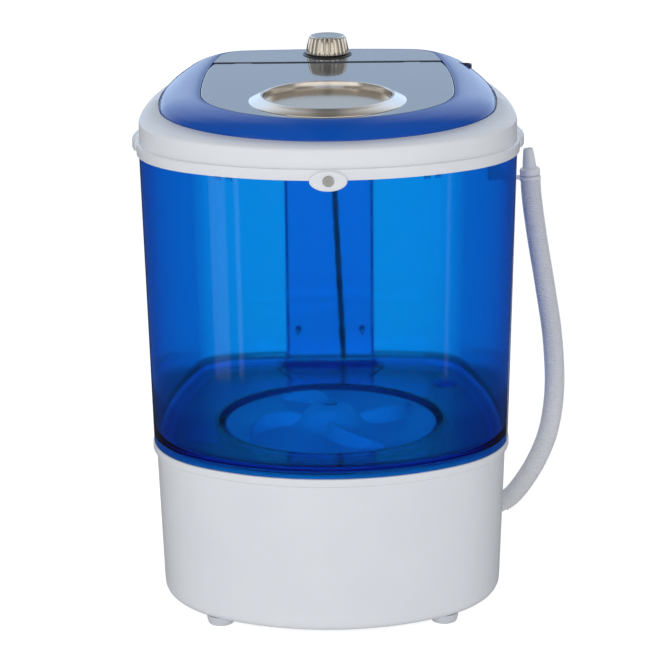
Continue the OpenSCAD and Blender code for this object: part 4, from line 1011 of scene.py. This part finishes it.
# %% Pulsator
well_z = 158
vane_start, vane_end = 18, 96
vane_sweep = 34
bm = bmesh.new()
profile = [(3, 180), (3, 183), (6.5, 183), (6.5, 184.5), (7.3, 184.9), (12, 184.5), (15, 183.5),
           (17.6, 182.4), (20, 181), (22.4, 178.7), (24.8, 176.3), (27, 174), (29.4, 171.5), (31.8, 169.3),
           (34, 167.6), (37, 166), (40, 165), (44, 164.4)]
profile += [(44 + 2.5*k, 164.4 - k/15) for k in range(1, 16)]
profile += [(84.5, 163.5), (87, 163.7), (90, 164), (93, 164.4), (96, 164.9), (99, 165.4), (101, 165.9),
            (102.5, 166), (103.6, 165.7), (104, 165), (104, 162), (102, 160.6), (22, 160.6), (20, 159.2),
            (5, 159.2), (5, 180)]
turn_profile(bm, profile, 240, closed=True)
for vert in bm.verts:
    r, bearing = polar(vert)
    if not vane_start <= r <= vane_end or vert.co.z < 162.5*mm:
        continue
    along = (r - vane_start)/(vane_end - vane_start)
    turn = bearing - vane_sweep*along**2
    off = abs((turn + 45) % 90 - 45)*pi/180*r/(11 - 5*along)
    height = 6 + 15*sin(pi*(0.12 + 0.8*along))**0.8
    if off < 1:
        ridge = 3 + (height - 3)*(0.5 + 0.5*cos(pi*off))**0.8
        vert.co.z = max(vert.co.z, (well_z + ridge)*mm)
piece("swept_pulsator", bm, "blue_plastic", ["pulsator"], "agitator", sharp=50, finish="pulsator_plastic")

# %% [markdown]
# ## The rest of the solids
# The screws, the timer, the drain and everything under the tub's floor have the right shape
# already, so they keep their meshes and take a finish from the same recipes.

# %% Dress the kept solids
kept = {
    "nickel": "front_screw",
    "steel": "foot_screws rear_cover_screws hinge_pins timer_spindle hose_clamp bracket_screws drive_shaft "
             "pulley_nut pulsator_screw motor_rotor motor_stator drive_bracket capacitor_clip",
    "white_plastic": "lid_liner hose_holder",
    "grey_plastic": "base_plate timer_housing timer_body drain_elbow bearing_housing",
    "blue_plastic": "drain_grate",
    "black_rubber": "cable_gland shaft_seal drive_belt",
    "black_plastic": "motor_fan drive_pulley",
    "aluminium": "motor_housing motor_pulley capacitor",
    "bronze": "shaft_bushes",
}
for finish, names in kept.items():
    for name in names.split():
        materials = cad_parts[name].data.materials
        materials.clear()
        materials.append(finishes[finish])
print("kept solids:", sum(len(names.split()) for names in kept.values()))

# %% [markdown]
# ## Floor and light
# The machine stands on a plain white floor in a bright studio. To the camera the floor is white, but
# it lights the machine only faintly, polished surfaces mirror it dark grey and, through the tub, a
# painted shadow dims it near the machine. One large soft lamp stands in front, a little to the left,
# and a weak one hangs above. Tall narrow lamps at the sides draw upright lines of light on the tub.

# %% Floor
bm = bmesh.new()
bmesh.ops.create_grid(bm, x_segments=1, y_segments=1, size=30)
floor = add_object("floor", mesh_of(bm, "floor"))
smooth = {"interpolation_type": "SMOOTHSTEP"}
tree, place = start_material("white_paper")
ray = add_node(tree, "LightPath").outputs
diffuse = add_node(tree, "BsdfDiffuse", {"Color": linear("#E8E8E8")})
# As the camera sees it
glow = add_node(tree, "Emission", {"Strength": 0.7})
lit = add_node(tree, "AddShader", {0: diffuse, 1: glow})
# As it lights the machine
faint = add_node(tree, "Emission", {"Strength": 0.25})
bounce = add_node(tree, "AddShader", {0: diffuse, 1: faint})
# As polished surfaces mirror it
matt = add_node(tree, "BsdfDiffuse", {"Color": linear("#555555")})
# As it shows through the tub, with a painted shadow that dims it near the machine
reach = add_node(tree, "VectorMath", {"operation": "LENGTH", 0: place})
shadow_pool = add_node(tree, "MapRange",
                {**smooth, "From Min": 0.69, "From Max": 0.74, "To Min": 0.3, "Value": reach})
behind = add_node(tree, "Emission", {"Strength": shadow_pool})
polished = add_node(tree, "MixShader", {0: ray["Is Glossy Ray"], 1: bounce, 2: matt})
through = add_node(tree, "MixShader", {0: ray["Is Transmission Ray"], 1: polished, 2: behind})
chosen = add_node(tree, "MixShader", {0: ray["Is Camera Ray"], 1: through, 2: lit})
add_node(tree, "OutputMaterial", {"Surface": chosen})
floor.data.materials.append(finishes["white_paper"])

# %% World
# Directions, not places, choose the light here: y points at the back wall and z at the ceiling.
world = bpy.data.worlds.new("studio")
world.use_nodes = True
tree = world.node_tree
tree.nodes.clear()
ray = add_node(tree, "LightPath").outputs
way = add_node(tree, "TexCoord").outputs["Generated"]
axes = add_node(tree, "SeparateXYZ", {0: way}).outputs
# The back wall is bright, most at its two sides, and the ceiling is dim, so polished surfaces that
# slope away catch a pale sheen, and those that face the camera keep their own colour.
back = add_node(tree, "MapRange",
                {**smooth, "From Min": 0.3, "From Max": 0.8, "To Min": 0.22, "Value": axes["Y"]})
sideways = add_node(tree, "Math", {"operation": "ABSOLUTE", 0: axes["X"]})
aside = add_node(tree, "MapRange",
                 {**smooth, "From Min": 0.05, "From Max": 0.18, "To Min": 0.74, "To Max": 1.6,
                  "Value": sideways})
rear = add_node(tree, "Math", {"operation": "MULTIPLY", 0: back, 1: aside})
# A low bright card in front lights the knob's flutes.
forwards = add_node(tree, "Math", {"operation": "MULTIPLY", 1: -1.0, 0: axes["Y"]})
ahead = add_node(tree, "MapRange", {**smooth, "From Min": 0.35, "From Max": 0.75, "Value": forwards})
above = add_node(tree, "MapRange", {"From Min": -0.08, "From Max": 0.0, "Value": axes["Z"]})
low = add_node(tree, "MapRange",
               {"From Min": 0.28, "From Max": 0.4, "To Min": 1.0, "To Max": 0.0, "Value": axes["Z"]})
card = add_node(tree, "Math", {"operation": "MULTIPLY", 0: above, 1: low})
front = add_node(tree, "Math", {"operation": "MULTIPLY_ADD", 0: ahead, 1: card, 2: rear})
# The back wall is cool, and the rest of the room is slightly warm.
far = add_node(tree, "MapRange", {"From Min": 0.35, "From Max": 0.85, "Value": axes["Y"]})
hue = add_node(tree, "Mix", {"data_type": "RGBA", 6: linear("#FFF8F0"), 7: linear("#CEE4FF"), 0: far})
sheen = add_node(tree, "Background", {"Color": hue, "Strength": front})
# Mirrored, the room is that sheen. As light it is soft, and seen directly or through the tub, white.
soft = add_node(tree, "Background", {"Color": linear("#F7F9FF"), "Strength": 0.42})
polished = add_node(tree, "MixShader", {0: ray["Is Glossy Ray"], 1: soft, 2: sheen})
white = add_node(tree, "Background", {"Color": linear("#FFFFFF"), "Strength": 1.0})
direct = add_node(tree, "Math",
                  {"operation": "MAXIMUM", 0: ray["Is Camera Ray"], 1: ray["Is Transmission Ray"]})
either = add_node(tree, "MixShader", {0: direct, 1: polished, 2: white})
add_node(tree, "OutputWorld", {"Surface": either})
bpy.context.scene.world = world

# %% Lamps


def soft_lamp(name, place, aim, width, height, power, mirrored=True):
    """A rectangular soft lamp that faces a point; mirrored ones show in polished surfaces."""
    data = bpy.data.lights.new(name, "AREA")
    data.shape = "RECTANGLE"
    data.size, data.size_y = width, height
    data.energy = power
    lamp = add_object(name, data)
    lamp.visible_glossy = mirrored
    way = (Vector(aim) - Vector(place)).to_track_quat("-Z", "Y")
    lamp.matrix_world = Matrix.Translation(place) @ way.to_matrix().to_4x4()


soft_lamp("front_lamp", (-0.25, -3.3, 1.4), (0, 0, 0.25), 1.6, 1.2, 38, mirrored=False)
soft_lamp("top_lamp", (0, 0.5, 2.4), (0, 0, 0.3), 1.4, 1.4, 3, mirrored=False)
soft_lamp("left_strip", (-0.705, -0.56, 0.5), (0, 0, 0.5), 0.13, 1.0, 0.17)
soft_lamp("left_line", (-0.612, -0.68, 0.5), (0, 0, 0.5), 0.035, 1.0, 0.06)
soft_lamp("right_line", (0.74, -0.5, 0.5), (0, 0, 0.5), 0.03, 1.0, 0.035)
print("lamps placed")
